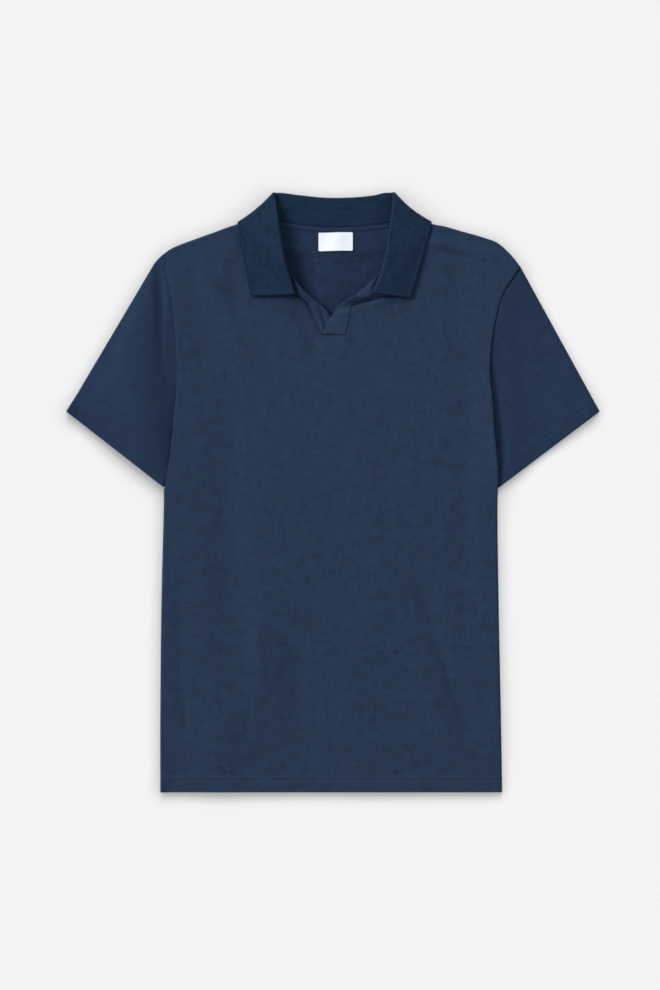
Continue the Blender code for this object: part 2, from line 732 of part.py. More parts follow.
def sleeve_heights(side, place):
    """Middle of the lower and the upper wall of a sleeve at a plan point."""
    x, y = place
    outside = abs(x) - abs(edge_x(side, y))
    low = BACK_REST + LAYER * (1 - smooth((outside - SLEEVE_START) / SLEEVE_RAMP))
    full = mix(SLEEVE_RISE, CUFF_RISE, smooth(outside / CUFF_EASE) ** 3)
    return low, mix(SLEEVE_TUCK_RISE, full, smooth((outside - SLEEVE_START) / SLEEVE_EASE))


def sleeve_root(side, share):
    """Plan point on the armhole seam, bent inwards at its low end to the sleeve's hidden heel."""
    y = mix(SLEEVE_TOP[side][0].y, SLEEVE_HEEL_Y, share)
    return Vector((edge_x(side, y) - side_sign(side) * SLEEVE_HEEL_INSET * share ** 6, y))


def sleeve_line(side, ring, out):
    """Plan points of one ring from its top fold to its low fold.

    out is the share of the way from the ring to the cuff.
    """
    cuff_top, cuff_low = flat(SLEEVE_TOP[side][-1]), flat(CUFF_CORNER[side])
    places = []
    for k in range(RING_STEPS + 1):
        share = 0.5 - 0.5 * math.cos(math.pi * k / RING_STEPS)
        root = sleeve_root(side, share)
        cuff = cuff_top.lerp(cuff_low, share)
        if ring.offset > 0:
            away = cuff - root
            start = root + unit(away) * ring.offset * min(1.0, away.length / RING_CROWDING)
        else:
            start = root - Vector((side_sign(side), 0)) * -ring.offset
        places.append(start.lerp(cuff, out))
    shift = sleeve_top_place(side, ring, out) - places[0]
    return [place + shift * (1 - k / RING_STEPS) ** 5 for k, place in enumerate(places)]


def sleeve_top_place(side, ring, out):
    """Where a ring's top fold lies: on the sleeve's outline, or just inside the shoulder."""
    shoulder = [flat(point) for point in SHOULDER[side]]
    outline = [flat(point) for point in SLEEVE_TOP[side]]
    line = outline if ring.offset > 0 else shoulder
    length = sum((b - a).length for a, b in zip(line, line[1:]))
    place = along(line, mix(abs(ring.offset) / length, 1.0, out))
    if ring.tucked:
        run = unit(shoulder[1] - shoulder[0])
        place += Vector((-side_sign(side) * abs(run.y), -abs(run.x))) * TUCK_INSET
    return place


def sleeve_fold(side, end, towards):
    """Plan points round one folded edge, its reach in keeping with the sleeve's thickness."""
    low, high = sleeve_heights(side, end)
    reaches = fold_reaches(SLEEVE_FOLD_SHARE * (high - low))
    return [end + unit(towards - end) * reach for reach in reaches]


def sleeve_ring(side, places):
    """Points round the sleeve: over the upper wall from fold to fold, and back under it."""
    first = sleeve_fold(side, places[0], places[1])
    last = sleeve_fold(side, places[-1], places[-2])
    line = first + places[1:-1] + list(reversed(last))
    sines = [math.sin(math.radians(angle)) for angle in FOLD_ANGLES]
    open_up = sines + [1.0] * (len(places) - 2) + list(reversed(sines))
    upper, lower = [], []
    for place, share in zip(line, open_up):
        low, high = sleeve_heights(side, place)
        middle = (low + high) / 2
        upper.append(Vector((place.x, place.y, mix(middle, high, share))))
        lower.append(Vector((place.x, place.y, mix(middle, low, share))))
    return upper + list(reversed(lower))[1:]


def make_sleeve(side):
    lines = [sleeve_line(side, ring, 0.0) for ring in ARMHOLE_RINGS]
    for k in range(1, SLEEVE_RINGS + 1):
        lines.append(sleeve_line(side, ARMHOLE_RINGS[-1], k / SLEEVE_RINGS))
    rows = [sleeve_ring(side, line) for line in lines]
    finish = material("sleeve_%s_jersey" % side, NAVY, 0.85)
    return sheet("sleeve_%s" % side, rows, finish, closed=True)


# --- the shirt ----------------------------------------------------------------------------------

for old in list(bpy.data.objects):
    bpy.data.objects.remove(old, do_unlink=True)
shirt = bpy.data.collections.new("polo_shirt")
bpy.context.scene.collection.children.link(shirt)

front_sections, turn_sections, back_sections = collar_sections()
make_back(turn_sections, back_sections)
make_front(front_sections, turn_sections)
make_collar(front_sections, turn_sections, back_sections)
make_facing("placket_right", UNDER_FACING, material("under_facing", NAVY, 0.85))
make_facing("placket_left", LAPPING_FACING, material("lapping_facing", NAVY, 0.85))
make_neck_tape(back_sections)
make_label()
make_sleeve("right")
make_sleeve("left")
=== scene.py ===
"""Navy polo shirt, dressed: jersey panels, rib collar, placket, tape, label and stitching.

Every cloth piece is a sheet worked out in millimetres from the tables below, and follows the
solid that it replaces. +X is the wearer's left, +Y is towards the collar, +Z is up, and the
shirt rests on z = 0. "Right" and "left" are the wearer's.
"""

import math
from collections import namedtuple
from contextlib import contextmanager

import bpy
import numpy as np
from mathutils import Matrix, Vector


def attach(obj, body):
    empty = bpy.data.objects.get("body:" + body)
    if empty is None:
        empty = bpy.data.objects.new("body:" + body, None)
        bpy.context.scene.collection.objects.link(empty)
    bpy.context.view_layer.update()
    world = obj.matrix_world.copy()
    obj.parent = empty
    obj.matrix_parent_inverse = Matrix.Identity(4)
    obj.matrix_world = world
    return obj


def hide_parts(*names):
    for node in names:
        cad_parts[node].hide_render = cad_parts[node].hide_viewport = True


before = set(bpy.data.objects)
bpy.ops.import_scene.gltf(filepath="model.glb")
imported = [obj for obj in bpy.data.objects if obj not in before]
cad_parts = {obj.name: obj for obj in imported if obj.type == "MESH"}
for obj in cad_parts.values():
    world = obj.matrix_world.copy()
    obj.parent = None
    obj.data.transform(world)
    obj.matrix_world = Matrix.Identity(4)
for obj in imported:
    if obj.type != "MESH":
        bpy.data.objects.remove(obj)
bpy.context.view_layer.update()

MM = 0.001
SIDES = ("right", "left")
SIGN = {"right": -1.0, "left": 1.0}

# --- measures of the cloth ---

WALL = 1.2  # thickness of every solid's wall
CLOTH = 0.9  # thickness of the jersey, which keeps the outer face of its solid
OUT = (WALL - CLOTH) / 2
HALF = CLOTH / 2
CLEAR = 0.3  # clear space between pieces that lie on each other
LAYER = WALL + CLEAR
NECK_GAP = 0.6  # clear space round the curved neck seam
SEAM_CRACK = 0.12  # gap that shows along the side seams
RIM_ROUND = 0.25  # rounding of cut and folded edges
ROUND_FROM, SMOOTH_TO = 55, 50  # edges sharper than this are rounded, and flatter than that smooth
JOIN = 0.004  # points closer than this are one
HEM_TURN = 0.48  # radius at which hems are turned
HEM_Y = -366.3  # height of the hem's edge
HEM_BOTTOM = -366.15  # and of the turned hem's own middle
HEM_DEPTH = 20.0
HEM_STEP, HEM_STEP_EASE = 0.3, 2.6  # how much thicker the hem is, and how soon that ends above it
STITCH_ROWS = (13.6, 19.4)  # twin rows, from the hem's edge
GROOVE, GROOVE_WIDTH = 0.2, 1.1  # how deep and how wide the rows are drawn in

# Heights of the middle of the walls
BACK_REST = WALL / 2  # the back on the table
BODY_RISE = 4.6  # the front over most of the body
ARMHOLE_RISE = 5.3  # along the armholes, over the tucked sleeves
HEM_RISE, HEM_EASE = 3.6, 70.0  # at the hem, and the length over which it comes down to it
ARMHOLE_BAND, ARMHOLE_EASE = 5.0, 60.0  # width at full height by the armhole, and of the way down
UNDERARM_START, UNDERARM_EASE = -40.0, 43.0  # where it starts to rise below the armhole
OVER_COLLAR, OVER_COLLAR_EASE = 0.45, 30.0  # how much higher it lies over the collar
FOLD_SPAN, SHELL_FOLD_SPAN = 2.4, 3.9  # reach of the body's fold, and of the collar's round it
FOLD_ANGLES = (0, 12, 25, 40, 56, 73, 90)

# Collar
FALL_DEPTH = 57.0  # depth of the turned-down part at the back neck
COLLAR_REACH = 116.0  # how far the collar reaches along the shoulder, from the centre
BACK_ROLL, SHOULDER_ROLL = 3.0, 1.8  # height of the turn at the back neck and the shoulders
ON_COLLAR = 1.75  # how far the back panel climbs to lie on the collar
RAMP, RAMP_LEAD = 12.0, 10.0  # length over which it climbs, and how early it has done so
BACK_EDGE_Y = 359.2 - FALL_DEPTH  # the collar's hidden edge at the centre back
BACK_EDGE_CURVE = 25.0  # how much higher it ends at the shoulders

# Sleeves
SLEEVE_LAP, SLEEVE_CLEAR = 6.5, 12.5  # first and last ring that follow the armhole
SLEEVE_TUCK_RISE, SLEEVE_RISE, CUFF_RISE = 3.7, 4.7, 3.6  # upper wall: tucked in, out, at the cuff
SLEEVE_START, SLEEVE_RAMP = 1.5, 10.0  # where the lower wall comes down to the table
SLEEVE_EASE, CUFF_EASE = 30.0, 110.0  # widths over which the upper one rises, and comes down
SLEEVE_FOLD_SHARE = 0.65  # reach of its folded edges, as a share of its thickness
TUCK_LIFT = {"right": 0.25, "left": 0.8}  # the upper wall stands higher where it is tucked in
TIP_CURL = {"right": 3.2, "left": -1.4}  # the cuff's outer corner curls up, or down
TIP_REACH = 8.0
# High up, the left sleeve comes out level with the front, and comes down further out
RAISE, RAISE_Y, RAISE_EASE = 0.9, 150.0, 60.0
RAISE_EDGE, RAISE_REACH, RAISE_FALL = 2.4, 4.0, 34.0
SOFT_EASE = 9.0  # where the right sleeve's creases begin
SLEEVE_HEEL_Y, SLEEVE_HEEL_INSET = 27.0, 5.5  # low end of the sleeve's root, hidden in the body
TUCK_INSET = 2.2  # how far the tucked rings keep inside the shoulder's fold
RING_CROWDING = 60.0  # rings crowd together where the sleeve is shorter than this


# --- tables ---

def table(columns, *rows):
    """Rows of plain numbers, with names for their columns."""
    kind = namedtuple("Row", columns)
    return [kind(*row) for row in rows]


# Distance of the body's edge from the centre line, up the body
BODY_EDGE = table(
    "height right left",
    (-366.3, 210.3, 206), (-278.2, 210.3, 204.5), (-131.8, 208.8, 201.6), (-8, 205.8, 200.3),
    (3, 205.6, 200.6), (27.6, 201.8, 200.7), (47.5, 198.7, 199), (71.2, 196.2, 196.6),
    (95, 193.9, 195), (118.8, 191.4, 193.2), (138.7, 190.2, 191), (162.5, 190.8, 190.9),
    (190, 192.3, 194.2), (212, 193.6, 198.3), (231.9, 195.8, 202.9), (245.8, 198.6, 208.7),
    (257.7, 201, 216.6), (275.3, 204.9, 228), (289, 208, 236),
)
# Heights of rows of the cloth: at the right edge, at the left edge and at the centre of the back.
# The first two bound the level part, and the last is on the back alone, over the collar's edge.
CROSS_ROWS = table(
    "right left centre",
    (HEM_Y, HEM_Y, HEM_Y), (-345, -345, -345), (-8, -8, -8), (-2.5, -2.5, -2), (3, 3, 4),
    (20, 20, 22), (45, 45, 46), (70, 70, 72), (95, 95, 98), (120, 120, 126), (145, 145, 154),
    (170, 170, 180), (192, 190, 206), (206, 204, 224), (218, 216, 240), (229, 226, 254),
    (239, 235, 266), (248, 243, 276), (256, 250, 285), (264, 256.5, 293), (271.5, 262.5, 301),
    (279, 268.5, 311), (284, 272, 317.5),
)
SLIT_ROW = 12  # the row at the foot of the slit
SIDE_FOLD_END, ARMHOLE_START = -8.0, 3.0  # the side is folded below, and the armhole open above

# Shoulder seam from the sleeve to the neck, and the front's edge from the foot of the slit up
SHOULDER = {
    "right": [
        (-208, 289), (-200.5, 294.7), (-191.1, 299.6), (-165.3, 309.3), (-139, 318.8),
        (-126, 323.5), (-114.2, 327.6), (-103.8, 334.5), (-94.2, 342.3),
    ],
    "left": [
        (228, 275.3), (220.4, 285.1), (211.4, 294.8), (199.7, 304.4), (186.6, 309.3), (154, 318.8),
        (137.9, 323.4), (118.4, 327.5), (107.2, 334.6), (96.3, 342.3),
    ],
}
SLIT_EDGE = {
    "right": [(-14.8, 192.6), (-24.3, 212.5), (-31, 229.2), (-38.6, 235.6)],
    "left": [(15.4, 191.2), (19.3, 212), (24.2, 232.6), (38, 236.6)],
}
# The folded top edge of the sleeves, from the shoulder to the cuff, and the cuff's low corner
SLEEVE_TOP = {
    "right": [
        (-208.4, 288.7), (-212.2, 285.1), (-216.8, 280.2), (-221.2, 275.3), (-228.1, 265.7),
        (-244.6, 236.4), (-279.5, 172.9), (-325.2, 98.5),
    ],
    "left": [
        (228.2, 275), (233.5, 265.7), (239.4, 255.9), (250.2, 236.4), (264.7, 209.5),
        (283.8, 172.9), (304.3, 136.3), (325.2, 98.5),
    ],
}
CUFF_CORNER = {"right": (-206.8, 6.3), "left": (201.6, 5.2)}

# Collar sections on the front, from the point to the shoulder: the neck seam, the rolled edge
# and the outer edge in plan, how far the stand climbs to the roll, the height of the roll, how
# far the outer edge stands clear of the front, how much more the soft roll stands up, and how
# wide it is.
SECTION = "seam turn edge climb roll lift more wide"
COLLAR_FRONT = {
    "right": table(
        SECTION,
        ((-49.5, 239.5), (-45.6, 241.4), (-100.6, 239.1), 1.6, 3, 0.7, 1, 0.6),
        ((-54, 251), (-48.9, 251.5), (-102.2, 249), 1.8, 3.2, 0.4, 2.2, 0.6),
        ((-60.5, 265), (-53.2, 265), (-105, 263), 2.2, 3.4, 0.2, 2.8, 0.6),
        ((-69, 282), (-58.2, 285), (-109.4, 280.5), 2.4, 3.4, 0.2, 2.8, 0.6),
        ((-79.5, 302.5), (-63.2, 311), (-113.2, 300), 2, 3, 0.1, 2.2, 0.7),
        ((-88, 322), (-67.2, 338), (-115.2, 315.5), 1.2, 2.4, 0.1, 1, 0.9),
    ),
    "left": table(
        SECTION,
        ((53.5, 239.8), (49.4, 243.8), (94.1, 236.7), 2, 3.4, 1.3, -0.6, 2),
        ((58.5, 250.5), (52.2, 251.5), (97.4, 247.5), 1.9, 3.3, 1.1, -0.9, 2.2),
        ((65, 264.5), (57, 264.5), (101.9, 262.5), 1.8, 3.2, 1, -1, 2.2),
        ((73.5, 281.5), (62.6, 284), (107.2, 281.5), 1.7, 3, 1, -1, 2),
        ((83, 302.5), (67.3, 311), (112.8, 302), 1.4, 2.8, 0.8, -0.8, 1.6),
        ((91, 322), (71.3, 337.5), (117.2, 316.5), 1, 2.4, 0.4, -0.4, 1.2),
    ),
}
# The sections along the shoulders, where the collar turns from the front to the back, and how
# far each sags below a straight line
COLLAR_SHOULDER = dict(zip(SIDES, table(
    SECTION + " hollow",
    ((-94.2, 342.3), (-71.2, 365.3), (-116.3, 328.9), 0.2, SHOULDER_ROLL, 0, 0, 1, 2.0),
    ((96.3, 342.3), (73.4, 365.6), (120.3, 329.5), 0.2, SHOULDER_ROLL, 0, 0, 1, 2.9),
)))
# Across the back neck: neck seam and top edge in plan, and where the hidden edge ends
COLLAR_BACK = table(
    "seam turn edge_x",
    ((-79, 335), (-61, 365.1), -90), ((-61, 330.8), (-47.6, 363.3), -66),
    ((-41, 327.3), (-32, 361.5), -44), ((-20.5, 324.9), (-16, 359.9), -22),
    ((0, 323.9), (0, 359.2), 0), ((20.5, 324.2), (16.5, 359.5), 22),
    ((41, 325.7), (33.5, 360.5), 44), ((61, 328), (49.5, 362.3), 66),
    ((80.5, 333), (62.5, 365.2), 90),
)
# Facings of the slit: sewn edge and free edge in plan, and how far each stands above the front
UNDER_FACING = [
    ((-14.3, 193.2), (-2.5, 193.2), -0.3, -0.5), ((-17.6, 199.5), (-2.2, 203), -0.3, -0.5),
    ((-23.9, 212.9), (-3.6, 215.5), -0.2, -0.3), ((-27.4, 221.3), (-8.4, 222), 0, 0.2),
    ((-30.2, 229.4), (-14.8, 227.9), 0, 0.6), ((-37.6, 236.4), (-26.8, 237.3), 0, 1.4),
    ((-44.2, 242), (-36, 246), -0.3, 2.5), ((-47.4, 251), (-43.2, 254), -0.1, 2.8),
    ((-51.2, 262), (-49.4, 263), 0.4, 2.1),
]
LAPPING_FACING = [
    ((14.9, 191.9), (-12.2, 193.2), 0, 0.8), ((16.6, 200.9), (-9.2, 200.9), 0.2, 1.5),
    ((18.6, 210.9), (-5.4, 209.2), 0.3, 1.8), ((20.2, 218.9), (-1.7, 214.8), 0.4, 1.9),
    ((21.8, 226), (4.4, 223.4), 0.5, 1.9), ((23.6, 233.2), (13.3, 232.2), 0.9, 2),
    ((37.2, 237.4), (24.6, 238.2), 2.1, 2.5), ((48.2, 243.6), (39, 249.6), 1.2, 2.5),
    ((51.6, 253.5), (46.8, 257), 0.2, 2), ((55.6, 263.6), (53.6, 264.4), 0.3, 1.6),
]
FACING_EASE = 1.6  # the rise is over in the first 1 / 1.6 of the width
FACING_STEPS, FACING_PITCH, FACING_ROUND = 15, 1.6, 0.4
LAPPING_WALL, UNDER_WALL, TRIM_WALL = 1.4, 1.3, 0.5

# Neck tape, from the neck seam, and label
TRIM_GAP, TRIM_ROUND = 0.12, 0.15
TAPE_START, TAPE_END = 0.8, 6.2
TAPE_PITCH, TAPE_STEPS = 3.0, 9
TAPE_SWELL, TAPE_PRESSED = 0.05, 0.1  # its middle swells, and all of it is pressed down
LABEL_X, LABEL_Y, LABEL_CORNER = (-17.6, 24.1), (294.1, 316.7), 1.3
LABEL_COLUMNS, LABEL_ROWS, CORNER_ROWS = 60, 34, 6
LABEL_RISE, LABEL_WAVE, WAVE_TURN, WAVE_START = 0.35, 0.35, 0.21, 0.6  # its waves, from side to side
WAVE_TOP, WAVE_EASE = 0.6, 8.0  # the waves end at its sewn top edge
LABEL_FOLD, FOLD_TOP, FOLD_EASE = 0.4, 5.9, 7.0  # it is folded, and higher, at its foot
LABEL_BOW, BOW_TURN = 0.35, 0.1  # its long edges bow a little

# Where the front stands higher or lower than the rest of the body: centre, reach and height.
# The first is the left armhole, which overhangs the sleeve.
FRONT_SWELLS = [
    (200, 72, 30, 55, 1.7), (-198, 60, 30, 50, 0.6), (0, 120, 150, 150, 0.5),
    (-95, -150, 60, 150, 0.5), (110, -230, 70, 110, -0.4), (-206, -366, 30, 30, -0.5),
    (203, -366, 30, 30, -0.5),
]
NECK_OVAL = (0, 295, 95, 58)
NECK_RISE = 2.7  # how far the front climbs to the neck seam
NECK_FALLOFF = 1.2  # and how quickly it comes down outside the neck's oval
CURL_OVAL, CORNER_CURL = (-212, HEM_Y, 6.5, 15), 3.2  # the hem's right corner curls up

# Soft creases: the ends of the run, half its width, its height, and how far its middle bends
FRONT_CREASES = [
    # across the chest, from the right shoulder
    (-172, 318, -80, 118, 12, 1.15, 4), (-98, 380, -124, 190, 22, -1, 0),
    (-172, 300, -140, 100, 15, -0.7, 4), (-60, 270, -2, 126, 15, -1.3, -6),
    (-30, 187, 30, 183, 12, 0.45, 0),
    # down the right half
    (-128, 190, -114, -330, 27, -1.2, 5), (-95, -110, -91, -258, 8, 0.6, -2),
    (-84, -100, -78, -262, 17, 0.35, -2), (-186, -60, -176, -360, 12, -0.6, 3),
    (-138, -220, -128, -430, 30, 1.5, 4), (-40, -130, -22, -400, 34, -1.25, 8),
    # down the left half
    (160, 340, 159, -220, 12.5, -0.85, -3), (154, 400, 150, 170, 15, -0.65, 0),
    (108, -130, 192, -340, 10, -1.15, 5), (88, -120, 156, -330, 20, 0.6, 6),
    (46, 90, 76, -230, 26, 0.5, 12), (26, 150, 12, -60, 30, 0.35, -8),
    (120, -60, 116, -220, 16, -0.45, 4),
    # drag lines from the shoulders
    (100, 324, 236, 283.5, 3.6, -0.3, 0), (84, 319, 234, 274, 4.6, 0.75, 1.5),
    (84, 306, 214, 284, 4.6, 0.6, -3), (100, 294, 212, 264, 5, 0.4, 1.4),
    (-196, 276, -128, 262, 5, 0.3, 2),
]
# Grooves along the seams and folds of the neck slit, in the front and its facings
SLIT_CREASES = [
    (-37.5, 244, -8, 178, 2.3, -2.1, -1.5), (-10, 221.2, 96, 246.2, 3.4, -3.3, 0),
]
UNDER_CREASES = [
    (-20.5, 236, -6.5, 186, 1.8, -1.1, -2), (-54, 276, -27, 221, 1.9, 0.8, 0),
]
BACK_CREASES = [
    (-8, 330, -2, 190, 26, 3, 0), (-120, 240, -40, 90, 16, 0.7, 6), (130, 200, 60, 20, 18, 0.6, -8),
    (-150, -60, -60, -260, 14, 0.6, 8), (90, -120, 150, -320, 12, 0.6, -6),
    (-20, 60, 10, -240, 20, 0.4, 10), (-34, 312, 40, 284, 16, 0.3, 4),
]
SLEEVE_CREASES = {
    "right": [
        (-215, 320, -210, 150, 6, -1.9, -2), (-209, 350, -201, 180, 5, 0.5, -2),
        (-206, 225, -193, 105, 2.6, 0.45, 3.5), (-262, 170, -306, 70, 15, 0.7, 6),
        (-276, 150, -318, 96, 10, -0.5, 4),
    ],
    "left": [
        (248, 370, 256, -110, 34, -3, 6), (196, 205, 207, -75, 14, -2, 4),
        (305, 136, 322, 62, 5.5, 0.9, 0), (236, 250, 268, 110, 14, 0.8, 8),
        (226, 190, 246, 70, 9, -0.6, 4), (258, 130, 296, 80, 12, 0.6, -4),
    ],
}
UNDER_SLEEVE_CREASES = [
    (-225, 230, -265, 90, 12, 0.5, 5), (232, 235, 268, 95, 12, 0.5, -5),
]
CREASE_ENDS = 0.38  # share of a crease over which each end fades
CREASE_UNEVEN, CREASE_WAVES, CREASE_SHIFT = 0.22, 5.0, 1.7  # how its width comes and goes
CREASE_DEPTH = 1.8  # all the front's creases, times this
CREASE_MARGIN = 22.0  # they fade this near a sewn side,
SEWN_TOP, SEWN_EASE = -30.0, 50.0  # which ends here,
HEM_SHARE, HEM_FADE = 0.35, 60.0  # and towards the hem

# How far the front stands up along its armholes, up the edge
ARMHOLE_RIDGE = table(
    "height right left",
    (-60, 0, 0), (-8, 0.1, 0.2), (25, 0.3, 0.8), (60, 0.3, 0.9), (100, 0.3, 0.7), (140, 0.3, 0.5),
    (175, 0.4, 0.3), (220, 0.5, 0.1), (255, 0.4, 0), (275, 0.2, 0), (300, 0, 0), (340, 0, 0),
)
RIDGE_REACH = {"right": 13.0, "left": 9.0}
ARMHOLE_ROLL = 2.6  # width over which the armhole's edge rolls under
ARMHOLE_DROP = {"right": 0.3, "left": 0.25}
OVERHANG_TOP = {"right": 40.0, "left": 150.0}  # below this height it stands off instead
OVERHANG_EASE = 30.0

# The right sleeve swells out of its armhole: at heights up it, how high, how far out that
# starts, over what width it rises, and the width over which it is over at the outer fold
SLEEVE_PUFF = np.array([
    (0, 8, 0, 26, 60), (60, 8, 0, 36, 60), (110, 7, 0, 40, 60), (160, 6, 2, 38, 36),
    (200, 4.4, 5, 30, 20), (240, 2.2, 9, 18, 18), (280, 0.5, 9, 16, 16), (300, 0, 9, 16, 16),
], float)
PUFF_CUFF = 58.0  # width over which it ends at the cuff,
OPEN_CUFF, OPEN_Y, OPEN_EASE = 0.12, 30.0, 60.0  # but for a share of it near the low corner
PUFF_SINK, PUFF_FALL = 0.3, 90.0  # share that it loses beyond its top, and over what width
EVEN_Y, EVEN_EASE = 70.0, 90.0  # it starts steep below this height, and evenly above


# --- heights of the cloth ---

def smooth(t):
    """0 below 0, 1 above 1, and an even curve between."""
    t = np.clip(t, 0.0, 1.0)
    return t * t * (3 - 2 * t)


def mix(a, b, t):
    return a + (b - a) * t


def bell(distance, centre, width):
    """1 at the centre, and down to 0 on both sides."""
    return np.exp(-((distance - centre) / width) ** 2)


def spots(*coordinates):
    """Points from their coordinates, each a number or an array."""
    return np.stack(np.broadcast_arrays(*coordinates), axis=-1)


def through(knots, values, t):
    """Smooth curve through values at rising knots, read at t."""
    knots, values, t = (np.asarray(part, float) for part in (knots, values, t))
    step = np.diff(knots)
    rise = np.diff(values, axis=0) / step.reshape((-1,) + (1,) * (values.ndim - 1))
    slope = np.concatenate([rise[:1], rise, rise[-1:]])
    slope = (slope[:-1] + slope[1:]) / 2
    i = np.clip(np.searchsorted(knots, t, "right") - 1, 0, len(step) - 1)
    shape = t.shape + (1,) * (values.ndim - 1)
    s = ((t - knots[i]) / step[i]).reshape(shape)
    h = step[i].reshape(shape)
    return (
        values[i] * (1 + 2 * s) * (1 - s) ** 2 + slope[i] * h * s * (1 - s) ** 2
        + values[i + 1] * s * s * (3 - 2 * s) - slope[i + 1] * h * s * s * (1 - s)
    )


def read(rows, column, height):
    """A column of a table of heights, read at a height."""
    return through([row.height for row in rows], [getattr(row, column) for row in rows], height)


def edge_x(side, height):
    """Where the body's edge is."""
    return SIGN[side] * read(BODY_EDGE, side, height)


def by_side(x, right, left):
    return np.where(x < 0, right, left)


def inside_edge(x, y):
    """How far inside the body's nearer edge a place is."""
    return by_side(x, abs(edge_x("right", y)), abs(edge_x("left", y))) - abs(x)


def oval(x, y, centre_x, centre_y, reach_x, reach_y):
    """Square of the distance from a centre, 1 at its reaches."""
    return ((x - centre_x) / reach_x) ** 2 + ((y - centre_y) / reach_y) ** 2


def run_lengths(points):
    return np.concatenate([[0.0], np.cumsum(np.linalg.norm(np.diff(points, axis=0), axis=1))])


def along(points, share):
    """Points at shares of the length of a smooth run of plan points."""
    lengths = run_lengths(points)
    return through(lengths, points, np.asarray(share) * lengths[-1])


def collar_edge_y(x):
    """Height of the collar's hidden outer edge, under the back panel."""
    return BACK_EDGE_Y + BACK_EDGE_CURVE * (x / COLLAR_REACH) ** 2


def creased(x, y, creases):
    """Troughs and ridges of soft cloth, all a little uneven along their run."""
    rise = np.zeros(np.broadcast(x, y).shape)
    for index, (x0, y0, x1, y1, half_width, height, bend) in enumerate(creases):
        dx, dy = x1 - x0, y1 - y0
        length = math.hypot(dx, dy)
        t = ((x - x0) * dx + (y - y0) * dy) / length ** 2
        inside = np.clip(t, 0.0, 1.0)
        off = ((x - x0) * dy - (y - y0) * dx) / length - bend * np.sin(np.pi * inside)
        width = half_width * (1 + CREASE_UNEVEN * np.sin(CREASE_WAVES * inside + CREASE_SHIFT * index))
        fade = smooth(t / CREASE_ENDS) * smooth((1 - t) / CREASE_ENDS)
        rise = rise + height * fade * bell(off, 0.0, width)
    return rise


def solid_front_height(x, y):
    """Middle of the front's wall."""
    rise = mix(HEM_RISE, BODY_RISE, smooth((y - HEM_Y) / HEM_EASE))
    by_armhole = smooth((y - UNDERARM_START) / UNDERARM_EASE)
    by_armhole = by_armhole * (1 - smooth((inside_edge(x, y) - ARMHOLE_BAND) / ARMHOLE_EASE))
    rise = mix(rise, ARMHOLE_RISE, by_armhole)
    for *place, height in FRONT_SWELLS:
        rise = rise + height * np.exp(-oval(x, y, *place))
    outside_neck = np.maximum(0.0, oval(x, y, *NECK_OVAL) - 1.0)
    rise = rise + NECK_RISE * np.exp(-NECK_FALLOFF * outside_neck)
    return rise + OVER_COLLAR * smooth((y - collar_edge_y(x)) / OVER_COLLAR_EASE + 1)


def side_fold(height):
    """1 where the side is sewn and folded, 0 along the open armhole."""
    return 1 - smooth((height - SIDE_FOLD_END) / (ARMHOLE_START - SIDE_FOLD_END))


def armhole_ridge(side, inside, y):
    rise = read(ARMHOLE_RIDGE, side, np.clip(y, ARMHOLE_RIDGE[0].height, ARMHOLE_RIDGE[-1].height))
    return rise * bell(inside, 0.0, RIDGE_REACH[side])


def front_height(x, y):
    """Middle of the front's wall with its soft creases."""
    x, y = np.broadcast_arrays(np.asarray(x, float), np.asarray(y, float))
    inside = inside_edge(x, y)
    sewn = 1 - smooth((y - SEWN_TOP) / SEWN_EASE)
    fade = 1 - (1 - smooth(inside / CREASE_MARGIN)) * sewn
    fade = fade * (HEM_SHARE + (1 - HEM_SHARE) * smooth((y - HEM_Y) / HEM_FADE))
    ridge = by_side(x, armhole_ridge("right", inside, y), armhole_ridge("left", inside, y))
    soft = fade * CREASE_DEPTH * creased(x, y, FRONT_CREASES)
    curl = CORNER_CURL * np.exp(-oval(x, y, *CURL_OVAL))
    return solid_front_height(x, y) + soft + creased(x, y, SLIT_CREASES) + ridge + curl


def back_rest(x, y):
    """Middle of the back's cloth: on the table but for lifted creases, and up over the collar."""
    climb = smooth((y - collar_edge_y(x) + RAMP + RAMP_LEAD) / RAMP)
    lift = np.maximum(0.0, creased(x, y, BACK_CREASES)) * smooth((y - HEM_Y) / CREASE_MARGIN)
    return HALF + ON_COLLAR * climb + lift


def hem_relief(distance):
    """Rise of the outer face over a hem: a step at its top and a groove at each stitch row."""
    rise = HEM_STEP * (1 - smooth((distance - HEM_DEPTH) / HEM_STEP_EASE))
    for row in STITCH_ROWS:
        rise = rise - GROOVE * bell(distance, row, GROOVE_WIDTH)
    return rise


# --- making a sheet ---

def linked(name, data):
    """A new object of the scene."""
    made = bpy.data.objects.new(name, data)
    bpy.context.scene.collection.objects.link(made)
    return made


def chosen(piece):
    """Selects one piece alone."""
    bpy.ops.object.select_all(action="DESELECT")
    piece.select_set(True)
    bpy.context.view_layer.objects.active = piece


@contextmanager
def edit_mode():
    bpy.ops.object.mode_set(mode="EDIT")
    yield
    bpy.ops.object.mode_set(mode="OBJECT")


def modify(piece, kind, **settings):
    modifier = piece.modifiers.new(kind.lower(), kind)
    for name, value in settings.items():
        setattr(modifier, name, value)
    chosen(piece)
    bpy.ops.object.modifier_apply(modifier=modifier.name)


